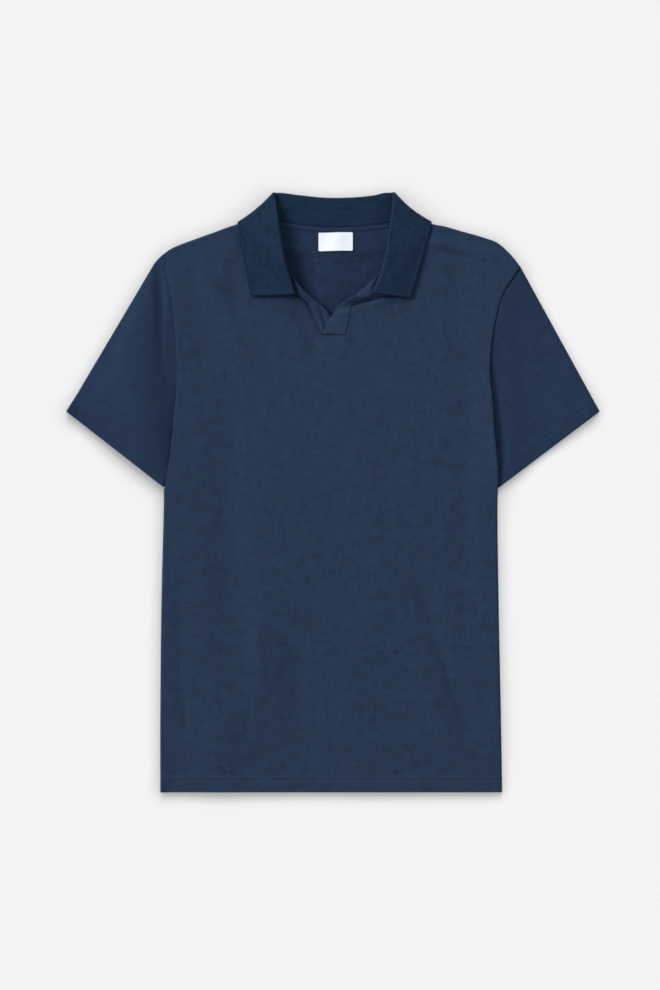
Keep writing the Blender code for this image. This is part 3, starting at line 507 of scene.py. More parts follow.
def sheet(name, points, finish, uv=None, wall=CLOTH, rounding=RIM_ROUND, left_out=None, closed=False):
    """A grid with its vertices moved to points (row, column, xyz in mm), given its thickness.

    uv holds each point's place on the flat cloth, in mm, which is its plan where it isn't given.
    left_out marks the squares (row, column) that are cut away, and a closed sheet's last column
    joins its first.
    """
    uv = points[..., :2] if uv is None else uv
    rows, columns = points.shape[:2]
    bpy.ops.object.select_all(action="DESELECT")
    bpy.ops.mesh.primitive_grid_add(
        x_subdivisions=columns - 1, y_subdivisions=rows - 1, size=2, calc_uvs=False)
    piece = bpy.context.object
    piece.name = piece.data.name = name
    mesh = piece.data
    mesh.vertices.foreach_set("co", (points.reshape(-1, 3) * MM).astype(np.float32).ravel())
    corners = np.zeros(len(mesh.loops), np.int32)
    mesh.loops.foreach_get("vertex_index", corners)
    layer = mesh.uv_layers.new(name="cloth")
    layer.data.foreach_set("uv", (uv.reshape(-1, 2)[corners] * MM).astype(np.float32).ravel())
    if left_out is not None:
        low = corners.reshape(-1, 4).min(axis=1)
        with edit_mode():
            bpy.ops.mesh.select_mode(type="FACE")
        mesh.polygons.foreach_set("select", left_out[low // columns, low % columns])
        with edit_mode():
            bpy.ops.mesh.delete(type="FACE")
    if closed:
        with edit_mode():
            bpy.ops.mesh.select_all(action="SELECT")
            bpy.ops.mesh.remove_doubles(threshold=JOIN * MM)
    mesh.materials.append(finish)
    modify(piece, "SOLIDIFY", thickness=wall * MM, offset=0.0, use_even_offset=False, use_rim=True)
    modify(piece, "BEVEL", width=rounding * MM, segments=2, limit_method="ANGLE",
           angle_limit=math.radians(ROUND_FROM), use_clamp_overlap=True, harden_normals=False)
    bpy.ops.object.shade_smooth_by_angle(angle=math.radians(SMOOTH_TO))
    return piece


def subdivided(points, pitch):
    """More points along a smooth run of (n, ...) arrays: one about every pitch, on the mean."""
    points = np.asarray(points, float)
    steps = np.linalg.norm(np.diff(points[..., :3], axis=0), axis=-1)
    steps = steps.reshape(len(steps), -1).mean(axis=1)
    knots = np.concatenate([[0.0], np.cumsum(np.maximum(steps, 0.01))])
    places = [0.0]
    for low, high in zip(knots, knots[1:]):
        count = max(1, int(math.ceil((high - low) / pitch)))
        places += list(low + (high - low) * np.arange(1, count + 1) / count)
    return through(knots, points, places)


# --- collar ---

# Steps across the collar, from the neck seam over the roll to the outer edge
LEVELS = (
    [("stand", k) for k in np.linspace(1.0, 0.03, 15)]
    + [("roll", math.radians(a)) for a in range(-90, 91, 15)]
    + [("fall", t) for t in (*np.linspace(0.02, 0.93, 26), 0.945, 0.96, 0.975, 0.988, 1.0)]
)
COLLAR_PITCH = 3.4
END_STEPS = (0.2, 0.4, 0.6, 0.8)  # finer rows at both ends
BORDER_LINES = (3.2, 7.0)  # knitted lines inside the collar's outer edge
FALL_CURVE = 1.5  # how the fall comes down from the roll
POINT_LIFT, POINT_Y, POINT_EASE = 0.6, 236.0, 30.0  # share of its lift that the collar's point keeps
SOFT_CLIMB = 0.35  # share of the soft roll's extra height that is under the roll
END_LIFT, END_REACH = 0.7, 9.0  # the ends of the fall lift a little
FALL_TOP, FALL_TOP_EASE = 0.9 * FALL_DEPTH, 8.0
END_RIM, EDGE_RIM = (0.3, 1.4, 1.0), (0.22, 1.2, 0.9)  # the thicker knitted rim: height, place, width
COLLAR_ROUND = 0.35


def front_profile(level, section):
    """Height of a collar step above the middle of the front's wall."""
    kind, step = level
    half = section.roll / 2
    if kind == "stand":
        return section.climb * (1 - step) ** 2
    if kind == "roll":
        return section.climb + half + half * math.sin(step)
    at_roll = section.climb + section.roll - LAYER
    return LAYER + section.lift + (at_roll - section.lift) * (1 - step) ** FALL_CURVE


def back_profile(level, roll):
    """Height of a collar step at the back neck, above the table."""
    kind, step = level
    if kind == "stand":
        return BACK_REST + mix(roll, ON_COLLAR, step)
    return BACK_REST + (roll / 2 - roll / 2 * math.sin(step) if kind == "roll" else 0.0)


def section_plan(section, radius, lying=0.0, hollow=0.0):
    """Plan places of a section's steps.

    Its roll stands upright, or lies flat where lying is 1, and hollow is how far it sags then.
    """
    seam, turn, edge = map(Vector, section[:3])
    towards = ((seam - turn).normalized() + (edge - turn).normalized()).normalized()
    outward = Vector((-towards.y, towards.x)) * math.copysign(lying, towards.x)
    centre = turn + towards * (WALL / 2 + radius)
    places = []
    for kind, step in LEVELS:
        if kind == "roll":
            place = centre + radius * (outward * math.sin(step) - towards * math.cos(step))
        else:
            end, way, sag = (seam, -radius, hollow / 2) if kind == "stand" else (edge, radius, hollow)
            place = (centre + outward * way).lerp(end, step) - outward * sag * math.sin(math.pi * step)
        places.append(place)
    return places


def raised(places, height_of):
    """Points over plan places; height_of gives a step's height."""
    return [Vector((*place, height_of(level, place))) for level, place in zip(LEVELS, places)]


def front_section(section):
    """A section on the front, its soft roll standing higher than the solid's."""
    low = section.lift * mix(POINT_LIFT, 1.0, smooth((section.edge[1] - POINT_Y) / POINT_EASE))
    soft = section._replace(
        climb=section.climb + SOFT_CLIMB * section.more,
        roll=section.roll + (1 - SOFT_CLIMB) * section.more, lift=low)
    return raised(section_plan(soft, soft.wide * soft.roll / 2),
                  lambda level, place: solid_front_height(*place) + front_profile(level, soft))


def back_section(section):
    edge = (section.edge_x, collar_edge_y(section.edge_x))
    return raised(section_plan((*section[:2], edge), BACK_ROLL / 2),
                  lambda level, place: back_profile(level, BACK_ROLL))


def fold_span(level):
    """Reach of the shoulder's fold: wider on the fall, which goes round the stand."""
    kind, step = level
    share = {"stand": 0.0, "fall": 1.0}.get(kind, (math.sin(step) + 1) / 2)
    return mix(FOLD_SPAN, SHELL_FOLD_SPAN, share)


def shoulder_turn(side, front, back):
    """Sections that turn round the shoulder, from the front's last to the back's first."""
    section = COLLAR_SHOULDER[side]
    plan = section_plan(section, section.roll / 2, 1.0, section.hollow)
    turn = []
    steps = [(angle, True) for angle in reversed(FOLD_ANGLES)]
    steps += [(angle, False) for angle in FOLD_ANGLES[1:]]
    for angle, on_front in steps:
        ring = []
        for level, place, ahead, behind in zip(LEVELS, plan, front, back):
            towards = ((ahead if on_front else behind).to_2d() - place).normalized()
            spot = place + towards * (fold_span(level) * (1 - math.cos(math.radians(angle))))
            top = solid_front_height(*place) + front_profile(level, section)
            low = back_profile(level, SHOULDER_ROLL)
            height = mix((top + low) / 2, top if on_front else low, math.sin(math.radians(angle)))
            ring.append(Vector((*spot, height)))
        turn.append(ring)
    return turn


front_sections = {side: [front_section(section) for section in COLLAR_FRONT[side]] for side in SIDES}
back_sections = [back_section(section) for section in COLLAR_BACK]
turn_sections = {
    side: shoulder_turn(side, front_sections[side][-1], back_sections[end])
    for side, end in (("right", 0), ("left", -1))
}


def neck_edge(section):
    """Where a panel's edge meets a collar section: one gap beyond the collar's own edge."""
    return section[0] + (section[0] - section[1]).normalized() * NECK_GAP


def make_collar(finish):
    rows = front_sections["right"] + turn_sections["right"] + back_sections
    rows += turn_sections["left"][::-1] + front_sections["left"][::-1]
    points = subdivided(np.array(rows), COLLAR_PITCH)
    near, far = ([mix(points[a], points[a + 1], t) for t in END_STEPS] for a in (0, len(points) - 2))
    points = np.concatenate([points[:1], near, points[1:-1], far, points[-1:]])
    across = np.linalg.norm(np.diff(points, axis=1), axis=2)
    from_edge = np.pad(np.cumsum(across[:, ::-1], axis=1)[:, ::-1], ((0, 0), (0, 1)))
    run = np.linalg.norm(np.diff(points, axis=0), axis=2).mean(axis=1)
    along_run = np.concatenate([[0.0], np.cumsum(run)])[:, None]
    uv = spots(along_run, from_edge)
    # the ends of the fall lift a little, and the knitted rim is thicker there and along the edge
    from_end = np.minimum(along_run, along_run[-1:] - along_run)
    on_fall = smooth(1 - (from_edge - FALL_TOP) / FALL_TOP_EASE)
    points[..., 2] += END_LIFT * on_fall * (1 - smooth(from_end / END_REACH))
    for distance, (height, *place) in ((from_end, END_RIM), (from_edge, EDGE_RIM)):
        points[..., 2] += height * bell(distance, *place)
    return sheet("collar_rib", points[:, ::-1], finish, uv[:, ::-1], WALL, COLLAR_ROUND)


# --- body panels ---

# How far a half row's points are from its edge and its end, and the last rows from the shoulder
EDGE_REACHES = np.array(
    [0, 0.06, 0.22, 0.5, 0.9, 1.4, 1.9, 2.4, 3.1, 3.9, 4.8, 5.8, 7.2, 9, 11.2, 14])
END_REACHES = np.array([3.2, 1.7, 0.8, 0.3, 0])
SHOULDER_REACHES = np.array([14, 11, 8.6, 6.8, 5.4, 4.2, 3.2, 2.4, 1.8, 1.25, 0.8, 0.45, 0.2, 0.05, 0])
HEM_INSIDE = (HEM_DEPTH, 19.2, 17.0, 13.6, 10.0, 6.0, 2.8, 1.2)  # rows inside the turned hem
FACE_STEPS = (1.1, 1.9, 3.0, 4.6, 6.6, 8.8, 10.8, 12.2, 12.9, 13.6, 14.3, 15.0, 16.4, 17.8,
              18.7, 19.4, 20.1, 20.9, 21.8, 23.0, 25.0)  # and over its face
PANEL_PITCH, BACK_PITCH = 3.6, 5.0
HALF_COLUMNS = 54
LEVEL_TOP, CLIMB_ROWS = 170.0, 7  # the front's rows are level below, and then climb to the slit
ROW_PARTS = 6  # finer rows between two of the table's
SLIT_MIDDLE = 9  # columns across the foot of the slit
FACES_UP = 0.3  # the back's faces that look up more than this are its inner side, coloured darker with painted shade


def half_reaches(lengths):
    """Reaches of a half row's points from the body's edge, for each row's length."""
    lengths = np.asarray(lengths, float)[:, None]
    steps = np.linspace(0.0, 1.0, HALF_COLUMNS + 1)[1:-1]
    even = EDGE_REACHES[-1] + (lengths - END_REACHES[0] - EDGE_REACHES[-1]) * steps
    edge = np.repeat(EDGE_REACHES[None], len(lengths), axis=0)
    return np.concatenate([edge, even, lengths - END_REACHES[None]], axis=1)


def settled(side, panel, x, y, reach, fold, towards, depth):
    """Points of a panel: drawn to the seam round its folded edge, and depth inside its face.

    towards holds the plan direction in from the folded edge.
    """
    share = np.clip(reach / FOLD_SPAN, 0.0, 1.0)
    open_up = np.sqrt(1 - (1 - share) ** 2)
    rest = {"front": front_height(x, y) + OUT, "back": back_rest(x, y)}
    seam = (rest["back"] + rest["front"]) / 2
    up = 1 if panel == "front" else -1
    rest = rest[panel]
    if panel == "front":
        rolled = np.clip(1 - reach / ARMHOLE_ROLL, 0.0, 1.0) ** 2
        drop = ARMHOLE_DROP[side] * smooth((y - OVERHANG_TOP[side]) / OVERHANG_EASE) * rolled
        rest = rest - drop * (1 - fold) + hem_relief(y - HEM_BOTTOM)
    z = mix(rest, mix(seam + up * SEAM_CRACK / 2, rest, open_up), fold)
    across = depth * (1 - share) * fold
    z = z - up * depth * mix(1.0, open_up, fold)
    return spots(x + towards[..., 0] * across, y + towards[..., 1] * across, z)


def hem_steps():
    """(distance up from the hem's edge, depth inside) from the hem's free edge round to its face."""
    turn = np.radians(np.arange(180, -1, -20))
    steps = [(distance, 2 * HEM_TURN) for distance in HEM_INSIDE]
    return steps + [(HEM_TURN * (1 - math.sin(a)), HEM_TURN * (1 - math.cos(a))) for a in turn]


def hem_and_face(top):
    """Distances up from the hem's edge and depths inside, for all rows below the height top."""
    left = top - HEM_BOTTOM - FACE_STEPS[-1]
    count = int(round(left / PANEL_PITCH))
    face = list(FACE_STEPS) + [FACE_STEPS[-1] + left * k / count for k in range(1, count + 1)]
    return np.array(hem_steps() + [(distance, 0.0) for distance in face])


def half_panel(side, panel, outer, inner, depths):
    """Half a panel: rows between its edge and inner points, then rows up to the shoulder seam."""
    run = inner - outer
    lengths = np.linalg.norm(run, axis=1)
    towards = run / lengths[:, None]
    reaches = half_reaches(lengths)
    plan = outer[:, None] + towards[:, None] * reaches[..., None]
    fold = side_fold(outer[:, 1])[:, None]
    rows = list(settled(
        side, panel, plan[..., 0], plan[..., 1], reaches, fold, towards[:, None], depths[:, None]))
    seam_line = along(SHOULDER[side], reaches[-1] / reaches[-1][-1])
    down = plan[-1] - seam_line
    length = np.linalg.norm(down, axis=1)
    towards = down / length[:, None]
    for reach in SHOULDER_REACHES:
        out = np.minimum(reach, length * reach / (SHOULDER_REACHES[0] + 1.0))
        out = np.where(reach > FOLD_SPAN, out, reach)
        plan = seam_line + towards * out[:, None]
        rows.append(settled(side, panel, plan[:, 0], plan[:, 1], out, 1.0, towards, 0.0))
    return np.array(rows)


def panel_sheet(name, right, middle, left, open_row, finish):
    """A panel of its halves and the cloth between them, which is cut away above open_row."""
    points = np.concatenate([right, middle, left[:, ::-1]], axis=1)
    cut = np.zeros(points.shape[:2], bool)
    first = right.shape[1] - 1
    cut[open_row:, first:first + middle.shape[1] + 1] = True
    if name == "shirt_back":  # its outer face looks down
        points = points[:, ::-1]
    return sheet(name, points, finish, left_out=cut)


def front_half(side):
    """Points of half the front, and the depths of its rows up to the foot of the slit."""
    foot_x, foot_y = SLIT_EDGE[side][0]
    heights = [getattr(row, side) for row in CROSS_ROWS[SLIT_ROW:-1]]
    steps = hem_and_face(LEVEL_TOP)
    y = HEM_BOTTOM + steps[:, 0]
    share = np.arange(1, CLIMB_ROWS + 1) / CLIMB_ROWS
    climb_y = mix(LEVEL_TOP, heights[0], share)
    knots = np.arange(len(heights))
    fine = np.arange(1, ROW_PARTS * (len(heights) - 1) + 1) / ROW_PARTS
    upper_y = through(knots, heights, fine)
    neck = np.array(SLIT_EDGE[side] + [tuple(neck_edge(s).to_2d()) for s in front_sections[side]])
    outer = np.concatenate([
        spots(edge_x(side, y) + SIGN[side] * OUT, y), spots(edge_x(side, climb_y), climb_y),
        spots(edge_x(side, upper_y), upper_y),
    ])
    inner = np.concatenate([
        spots(foot_x, y), spots(foot_x, mix(LEVEL_TOP, foot_y, share)),
        spots(*(np.interp(fine, knots, column) for column in neck.T)),
    ])
    depths = np.pad(steps[:, 1], (0, CLIMB_ROWS + len(fine)))
    return half_panel(side, "front", outer, inner, depths), depths[:len(steps) + CLIMB_ROWS]


def make_front(finish):
    right, depths = front_half("right")
    left, _ = front_half("left")
    middle = np.stack([mix(right[:, -1], left[:, -1], k / (SLIT_MIDDLE + 1))
                       for k in range(1, SLIT_MIDDLE + 1)], axis=1)
    x, y = middle[:len(depths), :, 0], middle[:len(depths), :, 1]
    middle[:len(depths), :, 2] = front_height(x, y) + OUT + hem_relief(y - HEM_BOTTOM) - depths[:, None]
    return panel_sheet("shirt_front", right, middle, left, len(depths) - 1, finish)


def make_back(finish, shaded_inner_finish):
    """The back, whose faces that look up, into the shirt, show the knit's inner side, coloured darker
    for the reverse face and with painted shade inside the neck.
    """
    neck = [turn_sections["right"][-1]] + back_sections + [turn_sections["left"][-1]]
    neck = subdivided(np.array([neck_edge(section) for section in neck]), BACK_PITCH)
    centre_y = COLLAR_BACK[len(COLLAR_BACK) // 2].seam[1]
    shares = [(row.centre - HEM_Y) / (centre_y - HEM_Y) for row in CROSS_ROWS]
    steps = hem_and_face(centre_y)
    row_share = (HEM_BOTTOM + steps[:, 0] - HEM_Y) / (centre_y - HEM_Y)
    keep = row_share < shares[-1]
    row_share, depths = np.append(row_share[keep], shares[-1]), np.append(steps[keep, 1], 0.0)
    halves = []
    for side, corner_x, corner_y in (("right", *neck[0][:2]), ("left", *neck[-1][:2])):
        outer_y = np.interp(row_share, shares, [getattr(row, side) for row in CROSS_ROWS])
        outer = spots(edge_x(side, outer_y) + SIGN[side] * OUT, outer_y)
        inner_y = np.where(row_share < shares[1], outer_y, mix(HEM_Y, corner_y, row_share))
        halves.append(half_panel(side, "back", outer, spots(corner_x, inner_y), depths))
    to_neck = int(np.sum(SHOULDER_REACHES >= FOLD_SPAN))
    above = len(halves[0]) - len(row_share)
    climb = mix(row_share[-1], 1.0, np.arange(1, to_neck + 1) / to_neck)
    share = np.concatenate([row_share, climb, np.ones(above - to_neck)])[:, None]
    x, neck_y = neck[None, 1:-1, 0], neck[None, 1:-1, 1]
    y = mix(HEM_Y, np.where(share < shares[1], centre_y, neck_y), share)
    middle = spots(x, y, back_rest(x, y) + np.pad(depths, (0, above))[:, None])
    open_row = len(row_share) + to_neck - 1
    piece = panel_sheet("shirt_back", halves[0], middle, halves[1], open_row, finish)
    piece.data.materials.append(shaded_inner_finish)
    faces = piece.data.polygons
    facing = np.zeros(3 * len(faces))
    faces.foreach_get("normal", facing)
    faces.foreach_set("material_index", (facing.reshape(-1, 3)[:, 2] > FACES_UP).astype(np.int32))
    return piece


# --- facings, tape and label ---

def facing_points(facing, creases):
    """Middle of a facing: rows up the slit, each from the sewn edge to the free edge."""
    rows = []
    for sewn, free, sewn_rise, free_rise in facing:
        row = []
        for t in np.linspace(0.0, 1.0, FACING_STEPS):
            place = Vector(sewn).lerp(Vector(free), t)
            rise = mix(sewn_rise, free_rise, smooth(t * FACING_EASE))
            rise += float(creased(*place, SLIT_CREASES + creases))
            row.append(Vector((*place, solid_front_height(*place) + rise)))
        rows.append(row)
    return subdivided(np.array(rows), FACING_PITCH)


def on_back(x, y):
    """Middle of trim that lies on the inside of the back."""
    return back_rest(x, y) + HALF + TRIM_GAP + TRIM_WALL / 2


def make_neck_tape(finish):
    seam = subdivided(np.array([section[0].to_2d() for section in back_sections]), TAPE_PITCH)
    run = np.gradient(seam, axis=0)
    run /= np.linalg.norm(run, axis=1)[:, None]
    rows = []
    for reach in np.linspace(TAPE_END, TAPE_START, TAPE_STEPS):
        x, y = (seam + spots(run[:, 1], -run[:, 0]) * reach).T
        swell = TAPE_SWELL * math.sin(math.pi * (reach - TAPE_START) / (TAPE_END - TAPE_START))
        rows.append(spots(x, y, on_back(x, y) + swell - TAPE_PRESSED))
    return sheet("neck_binding", np.array(rows), finish, wall=TRIM_WALL, rounding=TRIM_ROUND)


def make_label(finish):
    """Woven label with rounded corners, sewn down along its top and waving below."""
    low, high = LABEL_Y
    xs = np.linspace(*LABEL_X, LABEL_COLUMNS)
    rounded = LABEL_CORNER * (1 - np.cos(np.linspace(0.0, math.pi / 2, CORNER_ROWS)))
    ys = np.concatenate([low + rounded, np.linspace(low, high, LABEL_ROWS)[3:-3], high - rounded[::-1]])
    x, y = np.meshgrid(xs, ys)
    off = np.clip(LABEL_CORNER - np.minimum(y - low, high - y), 0.0, LABEL_CORNER)
    drawn = LABEL_CORNER - np.sqrt(LABEL_CORNER ** 2 - off ** 2)
    centre, half = (xs[0] + xs[-1]) / 2, (xs[-1] - xs[0]) / 2
    x = centre + (x - centre) * (half - drawn) / half
    wave = LABEL_WAVE * np.sin(x * WAVE_TURN + WAVE_START) * smooth((high + WAVE_TOP - y) / WAVE_EASE)
    fold = LABEL_FOLD * smooth((low + FOLD_TOP - y) / FOLD_EASE)
    points = spots(x, y + LABEL_BOW * np.sin(x * BOW_TURN), on_back(x, y) + LABEL_RISE + wave + fold)
    return sheet("neck_label", points, finish, wall=TRIM_WALL, rounding=TRIM_ROUND)


# --- sleeves ---

SLEEVE_SHARES = np.linspace(0.0, 1.0, 49)
SLEEVE_OFFSETS = (-SLEEVE_LAP, -4.2, -1.8, -0.5, 0.2, 1.2, 2.4, 4.0, 6.2, 9.0, SLEEVE_CLEAR)
SLEEVE_RINGS = 56  # from there to the hem
SLEEVE_ROUND = 0.2
HEEL_CURVE = 6  # how late a ring draws in to the heel
SHIFT_FADE = 5  # and how soon it leaves the top fold
CUFF_SHARE = 0.86  # rings by the cuff keep out of the last of a short run


def distance_to(x, y, points):
    """Distance of plan places from a run of points."""
    nearest = np.inf
    for (ax, ay), (bx, by) in zip(points, points[1:]):
        dx, dy = bx - ax, by - ay
        t = np.clip(((x - ax) * dx + (y - ay) * dy) / (dx * dx + dy * dy), 0.0, 1.0)
        nearest = np.minimum(nearest, np.hypot(x - ax - t * dx, y - ay - t * dy))
    return nearest


def sleeve_puff(x, y, outside):
    """How much higher the swelling right sleeve stands."""
    heights, *columns = SLEEVE_PUFF.T
    y_here = np.clip(y, 0.0, heights[-1])
    rise, start, wide, fold = (through(heights, column, y_here) for column in columns)
    t = np.clip((outside - start) / wide, 0.0, 1.0)
    swell = rise * mix(1 - (1 - t) ** 2, smooth(t), smooth((y - EVEN_Y) / EVEN_EASE))
    swell = swell * (1 - PUFF_SINK * smooth((outside - start - wide) / PUFF_FALL))
    swell = swell * smooth(distance_to(x, y, SLEEVE_TOP["right"][1:]) / fold)
    cuff = distance_to(x, y, [SLEEVE_TOP["right"][-1], CUFF_CORNER["right"]])
    left_open = OPEN_CUFF * (1 - smooth((y - OPEN_Y) / OPEN_EASE))
    return swell * mix(left_open, 1.0, smooth(cuff / PUFF_CUFF))


def sleeve_heights(side, x, y):
    """Middle of the lower and the upper wall of a sleeve at plan points."""
    outside = abs(x) - abs(edge_x(side, y))
    low = HALF + LAYER * (1 - smooth((outside - SLEEVE_START) / SLEEVE_RAMP))
    low = low + np.maximum(0.0, creased(x, y, UNDER_SLEEVE_CREASES))
    full = mix(SLEEVE_RISE, CUFF_RISE, smooth(outside / CUFF_EASE) ** 3)
    tuck = SLEEVE_TUCK_RISE + TUCK_LIFT[side]
    high = mix(tuck, full, smooth((outside - SLEEVE_START) / SLEEVE_EASE)) + OUT
    soft = creased(x, y, SLEEVE_CREASES[side])
    if side == "right":
        high = high + sleeve_puff(x, y, outside) + soft * smooth(outside / SOFT_EASE)
    else:
        up = RAISE * smooth((y - RAISE_Y) / RAISE_EASE) * smooth(outside / RAISE_EDGE)
        high = high + soft + up * (1 - smooth((outside - RAISE_REACH) / RAISE_FALL))
    high = high + TIP_CURL[side] * np.exp(-oval(x, y, *SLEEVE_TOP[side][-1], TIP_REACH, TIP_REACH))
    return low, np.maximum(high, low + CLOTH + CLEAR)


def sleeve_top_place(side, offset, out):
    """Where a ring starts: on the sleeve's top fold, or tucked in along the shoulder."""
    line = SLEEVE_TOP[side] if offset > 0 else SHOULDER[side]
    place = along(line, mix(abs(offset) / run_lengths(line)[-1], 1.0, out))
    if offset < 0:
        run = (Vector(SHOULDER[side][1]) - Vector(SHOULDER[side][0])).normalized()
        place = place + np.array([-SIGN[side] * abs(run.y), -abs(run.x)]) * TUCK_INSET
    return place


def sleeve_line(side, offset=SLEEVE_CLEAR, from_cuff=None):
    """Plan points of one ring, from its top fold to its low fold.

    offset is its distance out of the armhole, and from_cuff gives a ring by the cuff instead.
    """
    u = SLEEVE_SHARES
    share = 0.5 - 0.5 * np.cos(np.pi * u)
    y = mix(SLEEVE_TOP[side][0][1], SLEEVE_HEEL_Y, share)
    root = spots(edge_x(side, y) - SIGN[side] * SLEEVE_HEEL_INSET * share ** HEEL_CURVE, y)
    cuff = mix(np.array(SLEEVE_TOP[side][-1]), np.array(CUFF_CORNER[side]), share[:, None])
    if offset > 0:
        away = cuff - root
        length = np.linalg.norm(away, axis=1)
        reach = offset * np.minimum(1.0, length / RING_CROWDING)
        start = root + away / length[:, None] * reach[:, None]
    else:
        start = root + np.array([SIGN[side] * offset, 0.0])
    out = np.zeros(len(u))
    if from_cuff is not None:
        left = np.linalg.norm(cuff - start, axis=1)
        out = 1 - np.minimum(from_cuff, CUFF_SHARE * left) / left
    line = start + (cuff - start) * out[:, None]
    shift = sleeve_top_place(side, offset, out[0]) - line[0]
    return line + shift * ((1 - u) ** SHIFT_FADE)[:, None]


def fold_end(side, end, towards):
    """Points that turn round a sleeve's fold, and their direction in from it."""
    low, high = sleeve_heights(side, *end)
    reaches = SLEEVE_FOLD_SHARE * (high - low) * (1 - np.cos(np.radians(FOLD_ANGLES)))
    run = (towards - end) / np.linalg.norm(towards - end)
    return end + run * reaches[:, None], np.repeat(run[None], len(reaches), axis=0)


def sleeve_ring(side, line, depth, relief):
    """Points round the sleeve: over the upper wall from fold to fold, and back under it."""
    first, first_run = fold_end(side, line[0], line[2])
    last, last_run = fold_end(side, line[-1], line[-3])
    sines = np.sin(np.radians(FOLD_ANGLES))
    inner = line[2:-2]
    open_up = np.concatenate([sines, np.ones(len(inner)), sines[::-1]])
    run = np.concatenate([first_run, np.zeros_like(inner), last_run[::-1]])
    line = np.concatenate([first, inner, last[::-1]])
    low, high = sleeve_heights(side, *line.T)
    high = high + relief
    middle = (low + high) / 2
    x, y = (line + (np.sqrt(1 - open_up ** 2) * depth)[:, None] * run).T
    upper = spots(x, y, mix(middle, high, open_up) - depth * open_up)
    lower = spots(x, y, mix(middle, low, open_up) + depth * open_up)
    return np.concatenate([upper, lower[::-1][1:]])


def make_sleeve(side, finish):
    rings = [(sleeve_line(side, offset), 0.0, 0.0) for offset in SLEEVE_OFFSETS]
    last, hem_line = rings[-1][0], sleeve_line(side, from_cuff=FACE_STEPS[-1])
    rings += [(mix(last, hem_line, k / SLEEVE_RINGS), 0.0, 0.0) for k in range(1, SLEEVE_RINGS)]
    steps = [(distance, 0.0, distance) for distance in reversed(FACE_STEPS)]
    steps += [(distance, depth, 0.0) for distance, depth in reversed(hem_steps())]
    rings += [(sleeve_line(side, from_cuff=distance), depth, hem_relief(up))
              for distance, depth, up in steps]
    points = np.array([sleeve_ring(side, *ring) for ring in rings])
    cuff = np.subtract(CUFF_CORNER[side], SLEEVE_TOP[side][-1])
    cuff /= np.linalg.norm(cuff)
    uv = spots(points[..., :2] @ cuff, points[..., :2] @ np.array([-cuff[1], cuff[0]]))
    if side == "left":
        points, uv = points[:, ::-1], uv[:, ::-1]
    return sheet("shirt_sleeve_" + side, points, finish, uv, rounding=SLEEVE_ROUND, closed=True)


# --- stitches ---

STITCH_SIDES = 6
STITCH_RINGS = ((-0.5, 0.35), (-0.38, 0.9), (0.0, 1.0), (0.38, 0.9), (0.5, 0.35))
THREAD_UP, FACING_THREAD_UP = 0.05, 0.04  # the thread's middle above the face of its cloth
THREAD_RISE = HALF + THREAD_UP
BACK_THREAD_Z = 0.12  # on the back's hem it lies on the table
ROW_INSET, HEM_POINTS, CUFF_POINTS = 2.0, 300, 160


def stitches(name, lines, finish, pitch=3.0, length=2.3, radius=0.24):
    """Short capsules of thread along runs of points (n, xyz in mm), joined in one mesh."""
    vertices, faces = [], []
    around = np.arange(STITCH_SIDES) * 2 * np.pi / STITCH_SIDES
    for line in lines:
        lengths = run_lengths(line)
        count = int(lengths[-1] / pitch)
        for centre in (np.arange(count) + 0.5) * lengths[-1] / count:
            start, end = (
                np.array([np.interp(centre + way * length / 2, lengths, column) for column in line.T])
                for way in (-1, 1))
            ahead = (end - start) / np.linalg.norm(end - start)
            side = np.cross(ahead, (0.0, 0.0, 1.0))
            side /= np.linalg.norm(side)
            up = np.cross(side, ahead)
            base = len(vertices)
            for at, wide in STITCH_RINGS:
                spot = (start + end) / 2 + ahead * at * length
                vertices += [spot + radius * wide * (side * math.cos(a) + up * math.sin(a))
                             for a in around]
            for ring in range(base, len(vertices) - STITCH_SIDES, STITCH_SIDES):
                for j in range(STITCH_SIDES):
                    a, b = ring + j, ring + (j + 1) % STITCH_SIDES
                    faces.append((a, a + STITCH_SIDES, b + STITCH_SIDES, b))
            faces.append(tuple(range(base, base + STITCH_SIDES)))
            faces.append(tuple(range(len(vertices) - 1, len(vertices) - STITCH_SIDES - 1, -1)))
    mesh = bpy.data.meshes.new(name)
    mesh.from_pydata([tuple(v * MM) for v in vertices], [], faces)
    mesh.materials.append(finish)
    piece = linked(name, mesh)
    chosen(piece)
    with edit_mode():
        bpy.ops.mesh.select_all(action="SELECT")
        bpy.ops.mesh.normals_make_consistent(inside=False)
    bpy.ops.object.shade_smooth()
    return piece


def body_hem_lines(panel):
    lines = []
    for row in STITCH_ROWS:
        y = HEM_BOTTOM + row
        start, end = (float(edge_x(side, y)) - SIGN[side] * ROW_INSET for side in SIDES)
        x = np.linspace(start, end, HEM_POINTS)
        on_front = front_height(x, y) + OUT + hem_relief(row) + THREAD_RISE
        z = on_front if panel == "front" else BACK_THREAD_Z
        lines.append(spots(x, y, z))
    return lines


def sleeve_hem_lines(side):
    lines = []
    for row in STITCH_ROWS:
        line = sleeve_line(side, from_cuff=row)
        run = run_lengths(line)
        at = np.linspace(ROW_INSET, run[-1] - ROW_INSET, CUFF_POINTS)
        x, y = (np.interp(at, run, column) for column in line.T)
        lines.append(spots(x, y, sleeve_heights(side, x, y)[1] + hem_relief(row) + THREAD_RISE))
    return lines


# --- finishes ---

